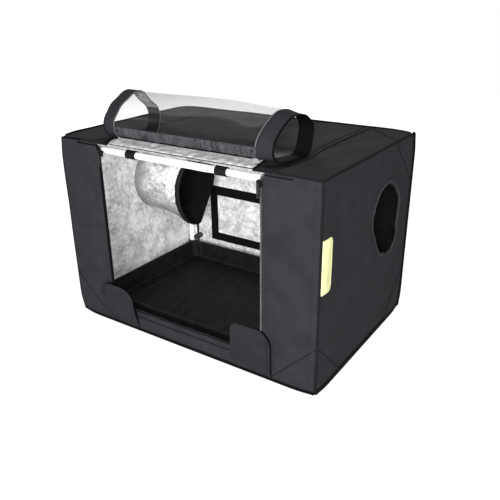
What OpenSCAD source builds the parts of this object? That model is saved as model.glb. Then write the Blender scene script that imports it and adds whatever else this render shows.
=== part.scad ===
// A box-shaped grow tent for seedlings, for a table top. A cloth cover with a reflective lining
// is sewn over a cube frame of steel poles. A clear window door closes the front with a zip;
// here it is rolled up and lies on the roof. Both side walls have a round port with a cloth
// sleeve, and the back wall has a mesh vent behind a flap.
// The origin is the middle of the floor's underside. +X is right, +Y is back, +Z is up.

/* [Cover] */
// Width of the tent, left to right
tent_w = 600; // [540:1:900]
// Depth of the tent, front to back
tent_d = 400; // [380:1:700]
// Height of the tent, without the rolled door
tent_h = 400; // [380:1:700]
// Thickness of a quilted cloth panel
cloth_t = 2; // [1:0.1:3]
// Radius of the piping along the edges
piping_r = 2.5; // [2.2:0.1:4]
// Thickness of sewn tapes and patches
tape_t = 0.6; // [0.4:0.1:1]
// Length of a corner patch's sides
patch_leg = 92; // [60:1:100]
// Width of the two seam tapes on the roof
seam_w = 12; // [8:1:20]
// Space between the rolled door and the seam tapes
seam_gap = 1.5; // [1:0.5:20]

/* [Front opening] */
// Width between the two front columns
opening_w = 384; // [340:1:400]
// Height of the sill below the opening
sill_h = 45; // [35:1:60]

/* [Frame] */
// Radius of a pole
pole_r = 6.5; // [5:0.1:8]
// Wall of a pole's tube
pole_wall = 1; // [0.6:0.1:2]
// Radius of a corner connector's ball
connector_r = 11; // [10.2:0.1:13]
// Length of a connector's sockets, from the corner
socket_len = 28; // [20:1:40]
// Wall of a connector's sockets
socket_wall = 3; // [2:0.1:3.4]
// Free room between a connector and the side walls
frame_gap = 0.5; // [0.3:0.1:2]
// Slack of the roof above the frame
roof_slack = 5.3; // [1:0.1:8]
// Width of the loops that hold the roof to the front pole
strap_w = 24; // [15:1:40]
// Place of the left loop, from the middle
strap_left = 113; // [60:1:140]
// Place of the right loop, from the middle
strap_right = 98; // [60:1:140]
// Thickness of the loops' webbing
strap_t = 1.6; // [1:0.1:2]

/* [Floor tray] */
// Height of the tray's sides
tray_h = 46; // [25:1:48]
// Wall of the tray
tray_wall = 1.5; // [1:0.1:3]
// Rounding of the tray's corners
tray_round = 14; // [6:1:20]
// Width of the tray's rim
tray_rim = 4; // [2:0.5:6]

/* [Rolled door] */
// Depth of the roll, front to back
roll_d = 147; // [130:1:160]
// Height of the roll over the roof
roll_h = 87; // [84:1:95]
// Distance of the roll behind the front of the tent
roll_setback = 18; // [16:1:24]
// Radius of the roll's front edge
roll_front_r = 25; // [20:1:28]
// Radius of the roll's crown
roll_top_r = 43; // [38:1:46]
// Distance of the crown behind the roll's front
roll_crown = 78; // [74:1:86]
// Radius of the roll's back
roll_back_r = 30; // [26:1:34]
// Width of the door's clear film between its side bands
film_w = 310; // [280:1:320]
// Thickness of the clear film
film_t = 0.6; // [0.4:0.1:1]
// Width of a side band
band_w = 35; // [25:1:36]
// Thickness of a side band
band_t = 1.8; // [1.4:0.1:2.4]
// Width of the door's bottom band
bottom_band_w = 24; // [15:1:30]
// Thickness of the bottom band
bottom_band_t = 0.9; // [0.8:0.1:1.6]
// Half the thickness of the strip that hinges the door
hinge_r = 0.6; // [0.4:0.1:0.8]
// How far the hinge line lies outside the piping's middle
hinge_out = 2.6; // [2.5:0.05:3]
// Width of the cloth tabs that carry the side bands
hinge_tab_w = 20; // [10:1:20]

/* [Zip] */
// Distance of the teeth inside the opening's edge, at the sides
zip_inset = 6; // [4:0.5:7]
// Height of the teeth over the sill, at the bottom
zip_lift = 4; // [3:0.5:6]
// Width of the tape
zip_tape_w = 14; // [10:1:18]
// Thickness of the tape
zip_tape_t = 0.8; // [0.5:0.1:1]
// Width of the row of teeth
zip_w = 3; // [2:0.1:3.4]
// Height of the teeth over the tape
zip_t = 2; // [1.5:0.1:2.5]
// Radius of the zip's lower bends
zip_bend = 30; // [20:1:40]
// Radius of the zip's upper bends
zip_turn = 8; // [6:1:10]
// Length of the zip's ends beside the opening
zip_tail = 52; // [20:1:60]
// Width of a slider
slider_w = 11.5; // [9:0.1:12]
// Length of a slider
slider_h = 12; // [9:0.5:15]
// Thickness of a slider's plates
slider_t = 1; // [0.8:0.1:1.4]
// Length of a pull
pull_h = 26; // [18:1:32]
// Width of a pull
pull_w = 7; // [5:0.5:9]
// Thickness of a pull
pull_t = 1.4; // [1:0.1:2]
// Radius of the bar that a pull hangs on
bail_r = 0.7; // [0.5:0.1:0.9]

/* [Corner flaps] */
// Width of the flaps over the zip's lower bends
flap_w = 87; // [70:1:90]
// Height of the flaps
flap_h = 90; // [70:1:95]
// Thickness of the flaps
flap_t = 1.5; // [1:0.1:2]
// Rounding of a flap's outer upper corner
flap_round = 42; // [20:1:44]
// Rounding of a flap's inner upper corner
flap_inner_round = 8; // [4:1:20]
// How far a flap reaches into the opening, past the teeth
flap_reach = 66; // [45:1:66]
// Height of the flaps' seam over the ground
flap_seam_z = 12; // [8:1:16]

/* [Ports] */
// Radius of a port
port_r = 75; // [50:1:80]
// Place of the ports behind the tent's middle
port_y = 75; // [50:1:85]
// Height of the ports' middle
port_z = 250; // [230:1:270]
// Width of the stitched ring round a port
ring_w = 10; // [6:1:14]
// Thickness of the ring outside the wall
ring_t = 1; // [0.6:0.1:2]
// Depth of a port's collar inside the wall
collar_d = 10; // [6:1:14]
// Wall of a port's collar
collar_t = 1.5; // [1:0.1:2.5]
// Length of a cloth sleeve
sleeve_len = 120; // [80:1:124]
// Thickness of a sleeve's cloth
sleeve_t = 1.2; // [0.8:0.1:2]
// How far the left sleeve's open end droops
sleeve_droop = 24; // [0:1:30]
// Radius of the right sleeve's gathered end
gather_r = 12; // [8:1:20]
// Width of the hem at a sleeve's end
hem_w = 12; // [10:1:16]
// Extra thickness of the hem
hem_t = 1; // [0.6:0.1:1.6]
// How far the left sleeve's open end swings back
sleeve_swing = 12; // [0:1:20]
// Extra droop of the lowest point of its end
sleeve_tip = 6; // [0:1:12]

/* [Drawstrings] */
// Radius of the drawstring
cord_r = 1.5; // [1:0.1:1.6]
// Length of a cord lock's barrel
lock_len = 19; // [16:1:24]
// Radius of a cord lock's barrel
lock_r = 6.5; // [6.2:0.1:8]
// Wall of the barrel
lock_wall = 1.8; // [1.2:0.1:1.9]
// Travel of the lock's button
button_travel = 3; // [2:0.1:3.5]
// Drop of the left lock below its sleeve
left_lock_drop = 33; // [30:1:36]
// Drop of the right lock below its sleeve
right_lock_drop = 12; // [10:1:16]

/* [Vent] */
// Width of the vent's mesh
vent_w = 404; // [300:1:440]
// Height of the vent's mesh
vent_h = 102; // [60:1:120]
// Height of the flap's lower edge over the ground
vent_z = 54; // [52:1:70]
// Width of the hook strips round the mesh
strip_w = 24; // [15:1:30]
// Thickness of the vent's flap
vent_flap_t = 1; // [0.6:0.1:1.6]
// Thickness of the mesh
mesh_t = 0.6; // [0.4:0.1:0.8]

/* [Edge tab] */
// Height of the tab on the right edge
tab_h = 100; // [60:1:120]
// Width of the tab
tab_w = 32; // [20:1:40]
// Thickness of the tab
tab_t = 1; // [0.8:0.1:1.6]
// Height of the tab's lower edge
tab_z = 200; // [150:1:220]
// Rounding of the tab's corners
tab_round = 10; // [4:1:15]

/* [Hidden] */
$fn = 48;
half_w = tent_w / 2;
half_d = tent_d / 2;
run_gap = 0.3;
fit_gap = 0.1;
edge = 2 * piping_r;

// The frame's corners, at the middles of the connectors
pole_x = half_w - cloth_t - frame_gap - connector_r;
pole_y = half_d - cloth_t - frame_gap - connector_r;
low_z = cloth_t + connector_r;
high_z = tent_h - cloth_t - frame_gap - connector_r - roof_slack;
seat = 9;
lip_r = pole_r + socket_wall + 0.7;
lip_len = 4;

// The rolled door's outline is three circles and their common tangents, seen from the right:
// the back edge, the crown and the front edge. Each is [middle, radius], in Y and Z.
roll_lift = 2;
front_circle = [[-half_d + roll_setback + roll_front_r, tent_h + roll_lift + roll_front_r],
                roll_front_r];
top_circle = [[-half_d + roll_setback + roll_crown, tent_h + roll_h - roll_top_r], roll_top_r];
back_circle = [[-half_d + roll_setback + roll_d - roll_back_r, tent_h + run_gap + 0.1 + roll_back_r],
               roll_back_r];
roll = [back_circle, top_circle, front_circle];
door_half = film_w / 2 + band_w;
seam_x = door_half + zip_w + seam_gap;
film_out = -film_t;
band_in = film_out + fit_gap;
// Places round the roll's front edge where the bottom band ends and the hinge strip begins
band_end = 221;
strip_end = 234;
hinge = [-half_d + piping_r - hinge_out, tent_h - piping_r + hinge_out];

// The zip's row of teeth runs round the opening at this distance from its middle
zip_x = opening_w / 2 - zip_inset;
zip_z = sill_h + zip_lift;
zip_top = tent_h - edge - zip_w / 2 - 1;
tape_front = -half_d - zip_tape_t;
teeth_front = tape_front - zip_t;
slider_front = teeth_front - run_gap - slider_t;
slider_x = zip_x - 1.5;
slider_z = zip_top - zip_turn - slider_h / 2 - 1;
eye_r = 2.2;
bar_y = slider_front - eye_r - 0.5;
bar_z = slider_z + 2;
cheek_t = 1;
slider_round = 2.5;
cheek_gap = 4.4;

// The corner flaps lie in front of the teeth and hinge on a seam bead
flap_x = zip_x - flap_reach;
flap_back = teeth_front - run_gap;
bead_r = 0.9;
bead_y = -half_d - run_gap - 0.5 - bead_r;

// A drawstring leaves its sleeve as two strands side by side and hangs as a loop.
// Half of the loop: distance from its middle, and drop below the sleeve.
strand = cord_r + 0.15;
loop_drop = [[strand, 0], [strand, 8], [strand, 16], [strand, 24], [strand, 32], [strand, 40],
             [strand, 46], [2.2, 52], [3.6, 58], [5.4, 64], [7, 70], [7.6, 76], [6.6, 82],
             [3.9, 86.2], [0, 88]];
sleeve_end = half_w - cloth_t - sleeve_len;
sleeve_in = port_r + collar_t + fit_gap;
hem_start = 1 - hem_w / sleeve_len;
// The left sleeve's rings are polygons round a circle, this much larger at their corners
sleeve_sides = 32;
sleeve_scale = 1 / cos(180 / sleeve_sides);
tip_z = port_z - (sleeve_in + sleeve_t + hem_t) * sleeve_scale - sleeve_droop - sleeve_tip;
left_cord = [-sleeve_end - hem_w / 2, port_y + sleeve_swing, tip_z - fit_gap];
right_cord = [sleeve_end + hem_w / 2, port_y, port_z - gather_r - sleeve_t - fit_gap];
lock_front = -7;
lock_back = lock_front + lock_len;
lock_floor = 1.5;
lock_slot_r = cord_r + 0.35;
plunger_r = lock_r - lock_wall - 0.3;
plunger_back = lock_slot_r + 1.35;
spring_y = plunger_back + fit_gap;
button_y = lock_front - button_travel - 0.5;

vent_top = vent_z + vent_h + 2 * strip_w;
vent_half = vent_w / 2 + strip_w;
strip_y = half_d - cloth_t - tape_t;
vent_axis_y = strip_y - run_gap - vent_flap_t / 2;

cloth = [0.27, 0.26, 0.29];
black = [0.07, 0.07, 0.08];
white = [0.95, 0.95, 0.95];
silver = [0.82, 0.83, 0.85];
clear = [0.85, 0.9, 0.95, 0.35];
lime = [0.9, 0.96, 0.55];
steel = [0.7, 0.7, 0.72];

// Helpers

module along_x(from, to) {
    translate([from, 0, 0]) rotate([90, 0, 90]) linear_extrude(to - from) children();
}

// Stands a flat shape drawn in X and Z upright, from one Y to the next
module along_y(from, to) {
    translate([0, to, 0]) rotate([90, 0, 0]) linear_extrude(to - from) children();
}

module rod_x(r, from, to) {
    translate([from, 0, 0]) rotate([0, 90, 0]) cylinder(r = r, h = to - from);
}

module rod_y(r, from, to) {
    translate([0, to, 0]) rotate([90, 0, 0]) cylinder(r = r, h = to - from);
}

module block(low, high) {
    translate(low) cube(high - low);
}

module both_sides() {
    children();
    mirror([1, 0, 0]) children();
}

module rounded_plate(w, d, r) {
    square([w - 2 * r, d], center = true);
    square([w, d - 2 * r], center = true);
    for (x = [-1, 1], y = [-1, 1]) translate([x * (w / 2 - r), y * (d / 2 - r)]) circle(r);
}

// Frame

module tube(len) {
    difference() {
        cylinder(r = pole_r, h = len);
        translate([0, 0, -1]) cylinder(r = pole_r - pole_wall, h = len + 2);
    }
}

module pole_along_x(y, z) {
    color(white) translate([-pole_x + seat, y, z]) rotate([0, 90, 0]) tube(2 * (pole_x - seat));
}

module pole_along_y(x, z) {
    color(white) translate([x, pole_y - seat, z]) rotate([90, 0, 0]) tube(2 * (pole_y - seat));
}

module upright(x, y) {
    color(white) translate([x, y, low_z + seat]) tube(high_z - low_z - 2 * seat);
}

module socket_body() {
    cylinder(r = pole_r + socket_wall, h = socket_len);
    translate([0, 0, socket_len - lip_len]) cylinder(r = lip_r, h = lip_len);
}

module socket_hole() {
    translate([0, 0, seat]) cylinder(r = pole_r + fit_gap, h = socket_len);
}

module connector() {
    difference() {
        union() {
            sphere(connector_r);
            socket_body();
            rotate([0, 90, 0]) socket_body();
            rotate([-90, 0, 0]) socket_body();
        }
        socket_hole();
        rotate([0, 90, 0]) socket_hole();
        rotate([-90, 0, 0]) socket_hole();
    }
}

// A connector's three sockets point into the tent, whatever corner it is in
module corner(right, back, top) {
    color(black) translate([right ? pole_x : -pole_x, back ? pole_y : -pole_y, top ? high_z : low_z])
        mirror([right ? 1 : 0, 0, 0]) mirror([0, back ? 1 : 0, 0]) mirror([0, 0, top ? 1 : 0])
            connector();
}

module pole_straps() {
    color(black) for (x = [-strap_left, strap_right]) translate([x, -pole_y, high_z]) {
        difference() {
            rod_x(pole_r + fit_gap + strap_t, -strap_w / 2, strap_w / 2);
            rod_x(pole_r + fit_gap, -strap_w, strap_w);
        }
        block([-strap_w / 2, -strap_t / 2, pole_r + fit_gap + strap_t / 2],
              [strap_w / 2, strap_t / 2, tent_h - cloth_t - high_z]);
    }
}

// Cover

module roof_panel() {
    color(cloth) block([-half_w + edge, -half_d + edge, tent_h - cloth_t],
                       [half_w - edge, half_d - edge, tent_h]);
}

module floor_panel() {
    color(cloth) block([-half_w + edge, -half_d + edge, 0], [half_w - edge, half_d - edge, cloth_t]);
}

module right_wall() {
    color(cloth) difference() {
        block([half_w - cloth_t, -half_d + edge, edge], [half_w, half_d - edge, tent_h - edge]);
        translate([0, port_y, port_z]) rod_x(sleeve_in, half_w - 2 * cloth_t, half_w + cloth_t);
    }
}

module left_wall() {
    mirror([1, 0, 0]) right_wall();
}

module back_wall() {
    color(cloth) difference() {
        block([-half_w + edge, half_d - cloth_t, edge], [half_w - edge, half_d, tent_h - edge]);
        block([-vent_w / 2, half_d - 10, vent_z + strip_w],
              [vent_w / 2, half_d + 10, vent_z + strip_w + vent_h]);
    }
}

module front_right_panel() {
    color(cloth) block([opening_w / 2, -half_d, edge], [half_w - edge, -half_d + cloth_t, tent_h - edge]);
}

module front_left_panel() {
    mirror([1, 0, 0]) front_right_panel();
}

module front_sill() {
    color(cloth) block([-opening_w / 2, -half_d, edge], [opening_w / 2, -half_d + cloth_t, sill_h]);
}

module edge_piping() {
    x = half_w - piping_r;
    y = half_d - piping_r;
    low = piping_r;
    high = tent_h - piping_r;
    color(black) {
        for (sy = [-y, y], z = [low, high]) translate([0, sy, z]) rod_x(piping_r, -x, x);
        for (sx = [-x, x], z = [low, high]) translate([sx, 0, z]) rod_y(piping_r, -y, y);
        for (sx = [-x, x], sy = [-y, y]) {
            translate([sx, sy, low]) cylinder(r = piping_r, h = high - low);
            for (z = [low, high]) translate([sx, sy, z]) sphere(piping_r);
        }
    }
}

module patch_shape(leg = patch_leg) {
    polygon([[0, 0], [leg, 0], [0, leg]]);
}

// A patch in each corner that the door and its hinge leave free; those on the roof end
// beside the seam tapes
module corner_patches() {
    x = half_w - edge;
    y = half_d - edge;
    top = tent_h - edge;
    roof_leg = min(patch_leg, x - seam_x - seam_w - run_gap);
    color(cloth) both_sides() {
        along_x(half_w, half_w + tape_t) {
            translate([-y, edge]) patch_shape();
            translate([y, edge]) mirror([1, 0]) patch_shape();
            translate([y, top]) rotate(180) patch_shape();
        }
        along_y(-half_d - tape_t, -half_d) translate([x, edge]) mirror([1, 0]) patch_shape();
        along_y(half_d, half_d + tape_t) {
            translate([x, edge]) mirror([1, 0]) patch_shape();
            translate([x, top]) rotate(180) patch_shape();
        }
        translate([x, y, tent_h]) linear_extrude(tape_t) rotate(180) patch_shape(roof_leg);
    }
}

module roof_seam_tapes() {
    color(cloth) both_sides()
        block([seam_x, -half_d + edge, tent_h], [seam_x + seam_w, half_d - edge, tent_h + tape_t]);
}

module floor_tray() {
    w = 2 * (pole_x - connector_r - 1);
    d = 2 * (pole_y - connector_r - 1);
    body_w = w - 2 * tray_rim;
    body_d = d - 2 * tray_rim;
    color(black) translate([0, 0, cloth_t]) difference() {
        union() {
            linear_extrude(tray_h) rounded_plate(body_w, body_d, tray_round);
            translate([0, 0, tray_h - tray_wall])
                linear_extrude(tray_wall) rounded_plate(w, d, tray_round + tray_rim);
        }
        translate([0, 0, tray_wall]) linear_extrude(tray_h)
            rounded_plate(body_w - 2 * tray_wall, body_d - 2 * tray_wall, tray_round - tray_wall);
    }
}

// Rolled door

// Direction that the common tangent of two circles faces, going round the roll anticlockwise
function facing(a, b) =
    let (d = b[0] - a[0]) atan2(d[1], d[0]) - acos((a[1] - b[1]) / norm(d));
function at(circle, angle, grow) = circle[0] + (circle[1] + grow) * [cos(angle), sin(angle)];
function arc(circle, from, to, grow, steps) =
    [for (i = [0:steps]) at(circle, from + (to - from) * i / steps, grow)];

bottom_face = facing(roll[2], roll[0]);
back_face = facing(roll[0], roll[1]);
slope_face = facing(roll[1], roll[2]) + 360;

function roll_outline(grow) = concat(
    arc(roll[0], bottom_face, back_face, grow, 12),
    arc(roll[1], back_face, slope_face, grow, 10),
    arc(roll[2], slope_face, bottom_face + 360, grow, 12));

module roll_ring(outer, inner) {
    difference() {
        polygon(roll_outline(outer));
        polygon(roll_outline(inner));
    }
}

module window_film() {
    color(clear) along_x(-film_w / 2, film_w / 2) roll_ring(film_out, film_out - film_t);
}

// A flat strip from the hinge line to the roll's front edge
module hinge_strip(grow) {
    tip = at(roll[2], strip_end, grow);
    run = tip - hinge;
    side = hinge_r * [-run[1], run[0]] / norm(run);
    polygon([hinge - side, tip - side, tip + side, hinge + side]);
    translate(hinge) circle(hinge_r);
}

module door_side_bands() {
    color(black) both_sides() {
        along_x(film_w / 2, door_half) roll_ring(0, -band_t);
        along_x(film_w / 2, film_w / 2 + hinge_tab_w) hinge_strip(-band_t / 2);
    }
}

module door_hinge_band() {
    color(silver) along_x(-film_w / 2, film_w / 2) hinge_strip(band_in + 0.75 * hinge_r);
}

// The bottom band lies round the roll's front edge
function bottom_band_line(grow) =
    arc(roll[2], band_end - bottom_band_w / roll_front_r * 180 / PI, band_end, grow, 6);

module door_bottom_band() {
    back = bottom_band_line(band_in);
    front = bottom_band_line(band_in + bottom_band_t);
    color(cloth) along_x(-film_w / 2, film_w / 2)
        polygon(concat(back, [for (i = [len(front) - 1:-1:0]) front[i]]));
}

module door_zip() {
    color(black) {
        both_sides() along_x(door_half, door_half + zip_w) roll_ring(0, -band_t - zip_tape_t);
        band_r = roll_front_r + band_in + bottom_band_t;
        along_x(-film_w / 2, film_w / 2) translate(roll[2][0]) rotate(band_end - 180)
            translate([-band_r - zip_t, -zip_w]) square([zip_t + bottom_band_t / 2, zip_w]);
    }
}

// Zip

// The area inside the zip's line, grown outward, open at the top
module zip_area(grow) {
    x = zip_x + grow;
    z = zip_z - grow;
    r = zip_bend + grow;
    translate([-x, z + r]) square([2 * x, zip_top - zip_turn - z - r]);
    translate([-x + r, z]) square([2 * (x - r), r + 1]);
    for (s = [-1, 1]) translate([s * (x - r), z + r]) circle(r);
}

// A band beside the zip's line, from one distance outward to the next
module zip_band(from, to) {
    difference() {
        zip_area(to);
        zip_area(from);
    }
    both_sides() translate([zip_x + zip_turn, zip_top - zip_turn]) {
        intersection() {
            difference() {
                circle(zip_turn - from);
                if (to < zip_turn) circle(zip_turn - to);
            }
            translate([-2 * zip_turn, 0]) square(2 * zip_turn);
        }
        low = max(zip_turn - to, 0);
        translate([0, low]) square([zip_tail, zip_turn - from - low]);
    }
}

module front_zip() {
    color(black) {
        along_y(tape_front, -half_d) zip_band(-zip_w / 2 - 0.5, zip_tape_w - zip_w / 2 - 0.5);
        along_y(teeth_front, tape_front) zip_band(-zip_w / 2, zip_w / 2);
    }
}

module right_slider() {
    x = slider_x;
    right = x + slider_w / 2;
    low = slider_z - slider_h / 2;
    high = slider_z + slider_h / 2;
    back = -half_d + run_gap;
    post = zip_x - zip_w / 2 - 0.9;
    post_w = 2.2;
    guide_w = 1.2;
    cheek = cheek_gap / 2;
    color(steel) {
        along_y(slider_front, slider_front + slider_t)
            translate([x, slider_z]) rounded_plate(slider_w, slider_h, slider_round);
        along_y(back, back + slider_t)
            translate([x, slider_z]) rounded_plate(slider_w, slider_h, slider_round);
        block([post - post_w, slider_front + slider_t / 2, high - 5],
              [post, back + slider_t / 2, high - 1]);
        block([right - guide_w, slider_front + slider_t / 2, low + slider_round],
              [right, teeth_front + guide_w, high - slider_round]);
        for (s = [-1, 1]) translate([x + s * (cheek + cheek_t / 2), 0, 0])
            block([-cheek_t / 2, bar_y - 1.1, bar_z - 1.4], [cheek_t / 2, slider_front + 0.4, bar_z + 1.4]);
        translate([x, bar_y, bar_z]) rod_x(bail_r, -cheek - cheek_t / 2, cheek + cheek_t / 2);
    }
}

module left_slider() {
    mirror([1, 0, 0]) right_slider();
}

module right_pull() {
    eye_w = cheek_gap - 0.8;
    color(steel) translate([slider_x, bar_y, bar_z]) difference() {
        union() {
            rod_x(eye_r, -eye_w / 2, eye_w / 2);
            block([-eye_w / 2, -pull_t / 2, -6], [eye_w / 2, pull_t / 2, 0]);
            along_y(-pull_t / 2, pull_t / 2) difference() {
                translate([0, -4 - (pull_h - 4) / 2]) rounded_plate(pull_w, pull_h - 4, 2);
                translate([0, -pull_h + 4.5]) circle(1.6);
            }
        }
        rod_x(bail_r + 0.35, -pull_w, pull_w);
    }
}

module left_pull() {
    mirror([1, 0, 0]) right_pull();
}

// Corner flaps and edge tab

module right_corner_flap() {
    low = flap_seam_z;
    outer = flap_round;
    inner = flap_inner_round;
    color(cloth) {
        along_y(flap_back - flap_t, flap_back) translate([flap_x, low]) {
            square([flap_w, flap_h - outer]);
            square([inner, flap_h - inner]);
            translate([inner, 0]) square([flap_w - outer - inner, flap_h]);
            translate([inner, flap_h - inner]) circle(inner);
            translate([flap_w - outer, flap_h - outer]) circle(outer);
        }
        block([flap_x, flap_back - flap_t, low], [flap_x + flap_w, bead_y, low + bead_r]);
        translate([0, bead_y, low]) rod_x(bead_r, flap_x, flap_x + flap_w);
    }
}

module left_corner_flap() {
    mirror([1, 0, 0]) right_corner_flap();
}

module edge_tab() {
    bead = tab_t / 2 + fit_gap;
    x = half_w + run_gap + bead;
    y = -half_d + piping_r;
    color(lime) {
        along_x(x - tab_t / 2, x + tab_t / 2) translate([y, tab_z]) {
            square([tab_w - tab_round, tab_h]);
            translate([0, tab_round]) square([tab_w, tab_h - 2 * tab_round]);
            for (z = [tab_round, tab_h - tab_round]) translate([tab_w - tab_round, z]) circle(tab_round);
        }
        translate([x, y, tab_z]) cylinder(r = bead, h = tab_h);
    }
}

// Ports

module port_rings() {
    color(black) both_sides() translate([half_w, port_y, port_z]) difference() {
        union() {
            rod_x(port_r + ring_w, 0, ring_t);
            rod_x(port_r + collar_t, -collar_d, ring_t);
        }
        rod_x(port_r, -20, 20);
    }
}

// Skin between an outer and an inner row of rings, open at both ends
module skin(outer, inner) {
    n = len(outer[0]);
    m = len(outer);
    points = concat([for (ring = outer) each ring], [for (ring = inner) each ring]);
    function id(side, row, k) = side * n * m + row * n + k % n;
    polyhedron(points, concat(
        [for (r = [0:m - 2], k = [0:n - 1]) each [
            [id(0, r, k), id(0, r + 1, k), id(0, r, k + 1)],
            [id(0, r + 1, k), id(0, r + 1, k + 1), id(0, r, k + 1)],
            [id(1, r, k), id(1, r, k + 1), id(1, r + 1, k)],
            [id(1, r + 1, k), id(1, r, k + 1), id(1, r + 1, k + 1)]]],
        [for (k = [0:n - 1]) each [
            [id(0, 0, k), id(0, 0, k + 1), id(1, 0, k)],
            [id(1, 0, k), id(0, 0, k + 1), id(1, 0, k + 1)],
            [id(0, m - 1, k), id(1, m - 1, k), id(0, m - 1, k + 1)],
            [id(1, m - 1, k), id(1, m - 1, k + 1), id(0, m - 1, k + 1)]]]));
}

// The left sleeve hangs open: round at the wall, drawn to a low tip at its end.
// s runs from 0 at the wall to 1 at the end, and grow is measured from the inner skin.
// It is straight over the port's collar.
// The hem at the end has one outline all along, narrower from front to back than the port.
collar_end = (collar_d + 1) / sleeve_len;
sleeve_pinch = 0.08;
sleeve_taper = 0.1;
function sleeve_ring(s, grow) = [for (k = [0:sleeve_sides - 1])
    let (a = k * 360 / sleeve_sides, r = (sleeve_in + grow) * sleeve_scale,
         u = max(min((s - collar_end) / (hem_start - collar_end), 1), 0), pull = u * u,
         fall = pull * (sleeve_droop + sleeve_tip * pow((1 + cos(a)) / 2, 2)))
    [-half_w + cloth_t + sleeve_len * s,
     port_y + u * sleeve_swing + r * sin(a) * (1 - pull * (sleeve_pinch + sleeve_taper * cos(a))),
     port_z - r * cos(a) - fall]];

module left_sleeve() {
    steps = [0, collar_end, 0.35, 0.6, 0.8, hem_start, hem_start + 0.002, 1];
    color(silver) skin(
        [for (s = steps) sleeve_ring(s, s > hem_start ? sleeve_t + hem_t : sleeve_t)],
        [for (s = steps) sleeve_ring(s, 0)]);
}

// The right sleeve is drawn shut at its end. Its profile gives the distance from the wall and
// the radius of the inner skin; the cloth bunches up to a plug in the hem.
module right_sleeve() {
    hem = sleeve_len - hem_w;
    plug = sleeve_len - 4;
    profile = [[0, sleeve_in], [collar_d + 4, sleeve_in], [sleeve_len / 3, sleeve_in - 10],
               [sleeve_len * 2 / 3, (sleeve_in + gather_r) / 2 - 8], [hem, gather_r - 2]];
    outer = [for (p = profile) [p[1] + (p[0] == hem ? 2 + sleeve_t : sleeve_t), p[0]]];
    inner = [for (i = [len(profile) - 1:-1:0]) [profile[i][1], profile[i][0]]];
    color(silver) translate([half_w - cloth_t, port_y, port_z]) rotate([0, -90, 0]) rotate_extrude()
        polygon(concat(outer, [[gather_r + sleeve_t, sleeve_len], [0, sleeve_len], [0, plug], [2.5, plug]],
                       inner));
}

// Drawstrings and cord locks

function cord_line(top) = concat(
    [for (p = loop_drop) top + [-p[0], 0, -p[1]]],
    [for (i = [len(loop_drop) - 2:-1:0]) top + [loop_drop[i][0], 0, -loop_drop[i][1]]]);

// Tube along a line that lies in a plane across Y
module cord(line) {
    n = 8;
    m = len(line);
    function way(i) = let (d = line[min(i + 1, m - 1)] - line[max(i - 1, 0)]) d / norm(d);
    points = [for (i = [0:m - 1], k = [0:n - 1]) let (w = way(i), side = [-w[2], 0, w[0]])
        line[i] + cord_r * (cos(k * 360 / n) * side + sin(k * 360 / n) * [0, 1, 0])];
    color(black) polyhedron(points, concat(
        [[for (k = [0:n - 1]) k], [for (k = [n - 1:-1:0]) (m - 1) * n + k]],
        [for (i = [0:m - 2], k = [0:n - 1]) each [
            [i * n + k, (i + 1) * n + k, i * n + (k + 1) % n],
            [(i + 1) * n + k, (i + 1) * n + (k + 1) % n, i * n + (k + 1) % n]]]));
}

// Slot for the two strands, through the lock from top to bottom
module strand_slot(back) {
    r = lock_slot_r;
    translate([0, 0, -10]) {
        for (x = [-strand, strand]) translate([x, 0, 0]) cylinder(r = r, h = 20);
        block([-strand, -r - back, 0], [strand, r, 20]);
        if (back > 0) {
            for (x = [-strand, strand]) translate([x, -back, 0]) cylinder(r = r, h = 20);
            block([-strand - r, -back, 0], [strand + r, 0, 20]);
        }
    }
}

module cord_lock(top, drop) {
    color(black) translate(top - [0, 0, drop]) difference() {
        union() {
            rod_y(lock_r, lock_front, lock_back - lock_floor);
            rod_y(lock_r - 1.2, lock_back - 2 * lock_floor, lock_back);
        }
        rod_y(lock_r - lock_wall, lock_front - 1, lock_back - lock_floor);
        strand_slot(0);
    }
}

module lock_button(top, drop) {
    color(black) translate(top - [0, 0, drop]) difference() {
        union() {
            rod_y(plunger_r, button_y - 0.5, plunger_back);
            rod_y(lock_r - 1, button_y - 1.5, button_y);
        }
        strand_slot(button_travel);
    }
}

module lock_spring(top, drop) {
    color(steel) translate(top - [0, 0, drop]) difference() {
        rod_y(plunger_r - 0.6, spring_y, lock_back - lock_floor - fit_gap);
        rod_y(plunger_r - 1.4, 0, lock_back);
    }
}

// Vent

module vent_mesh() {
    mid = half_d - cloth_t / 2;
    color(black) block([-vent_w / 2, mid - mesh_t / 2, vent_z + strip_w],
                       [vent_w / 2, mid + mesh_t / 2, vent_z + strip_w + vent_h]);
}

module vent_hook_strips() {
    color(black) difference() {
        block([-vent_half, strip_y, vent_z], [vent_half, half_d - cloth_t, vent_top]);
        block([-vent_w / 2, strip_y - 1, vent_z + strip_w],
              [vent_w / 2, half_d, vent_z + strip_w + vent_h]);
    }
}

module vent_flap() {
    color(silver) {
        block([-vent_half, vent_axis_y - vent_flap_t / 2, vent_z],
              [vent_half, vent_axis_y + vent_flap_t / 2, vent_top]);
        translate([0, vent_axis_y, vent_top]) rod_x(vent_flap_t / 2, -vent_half, vent_half);
    }
}

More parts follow.
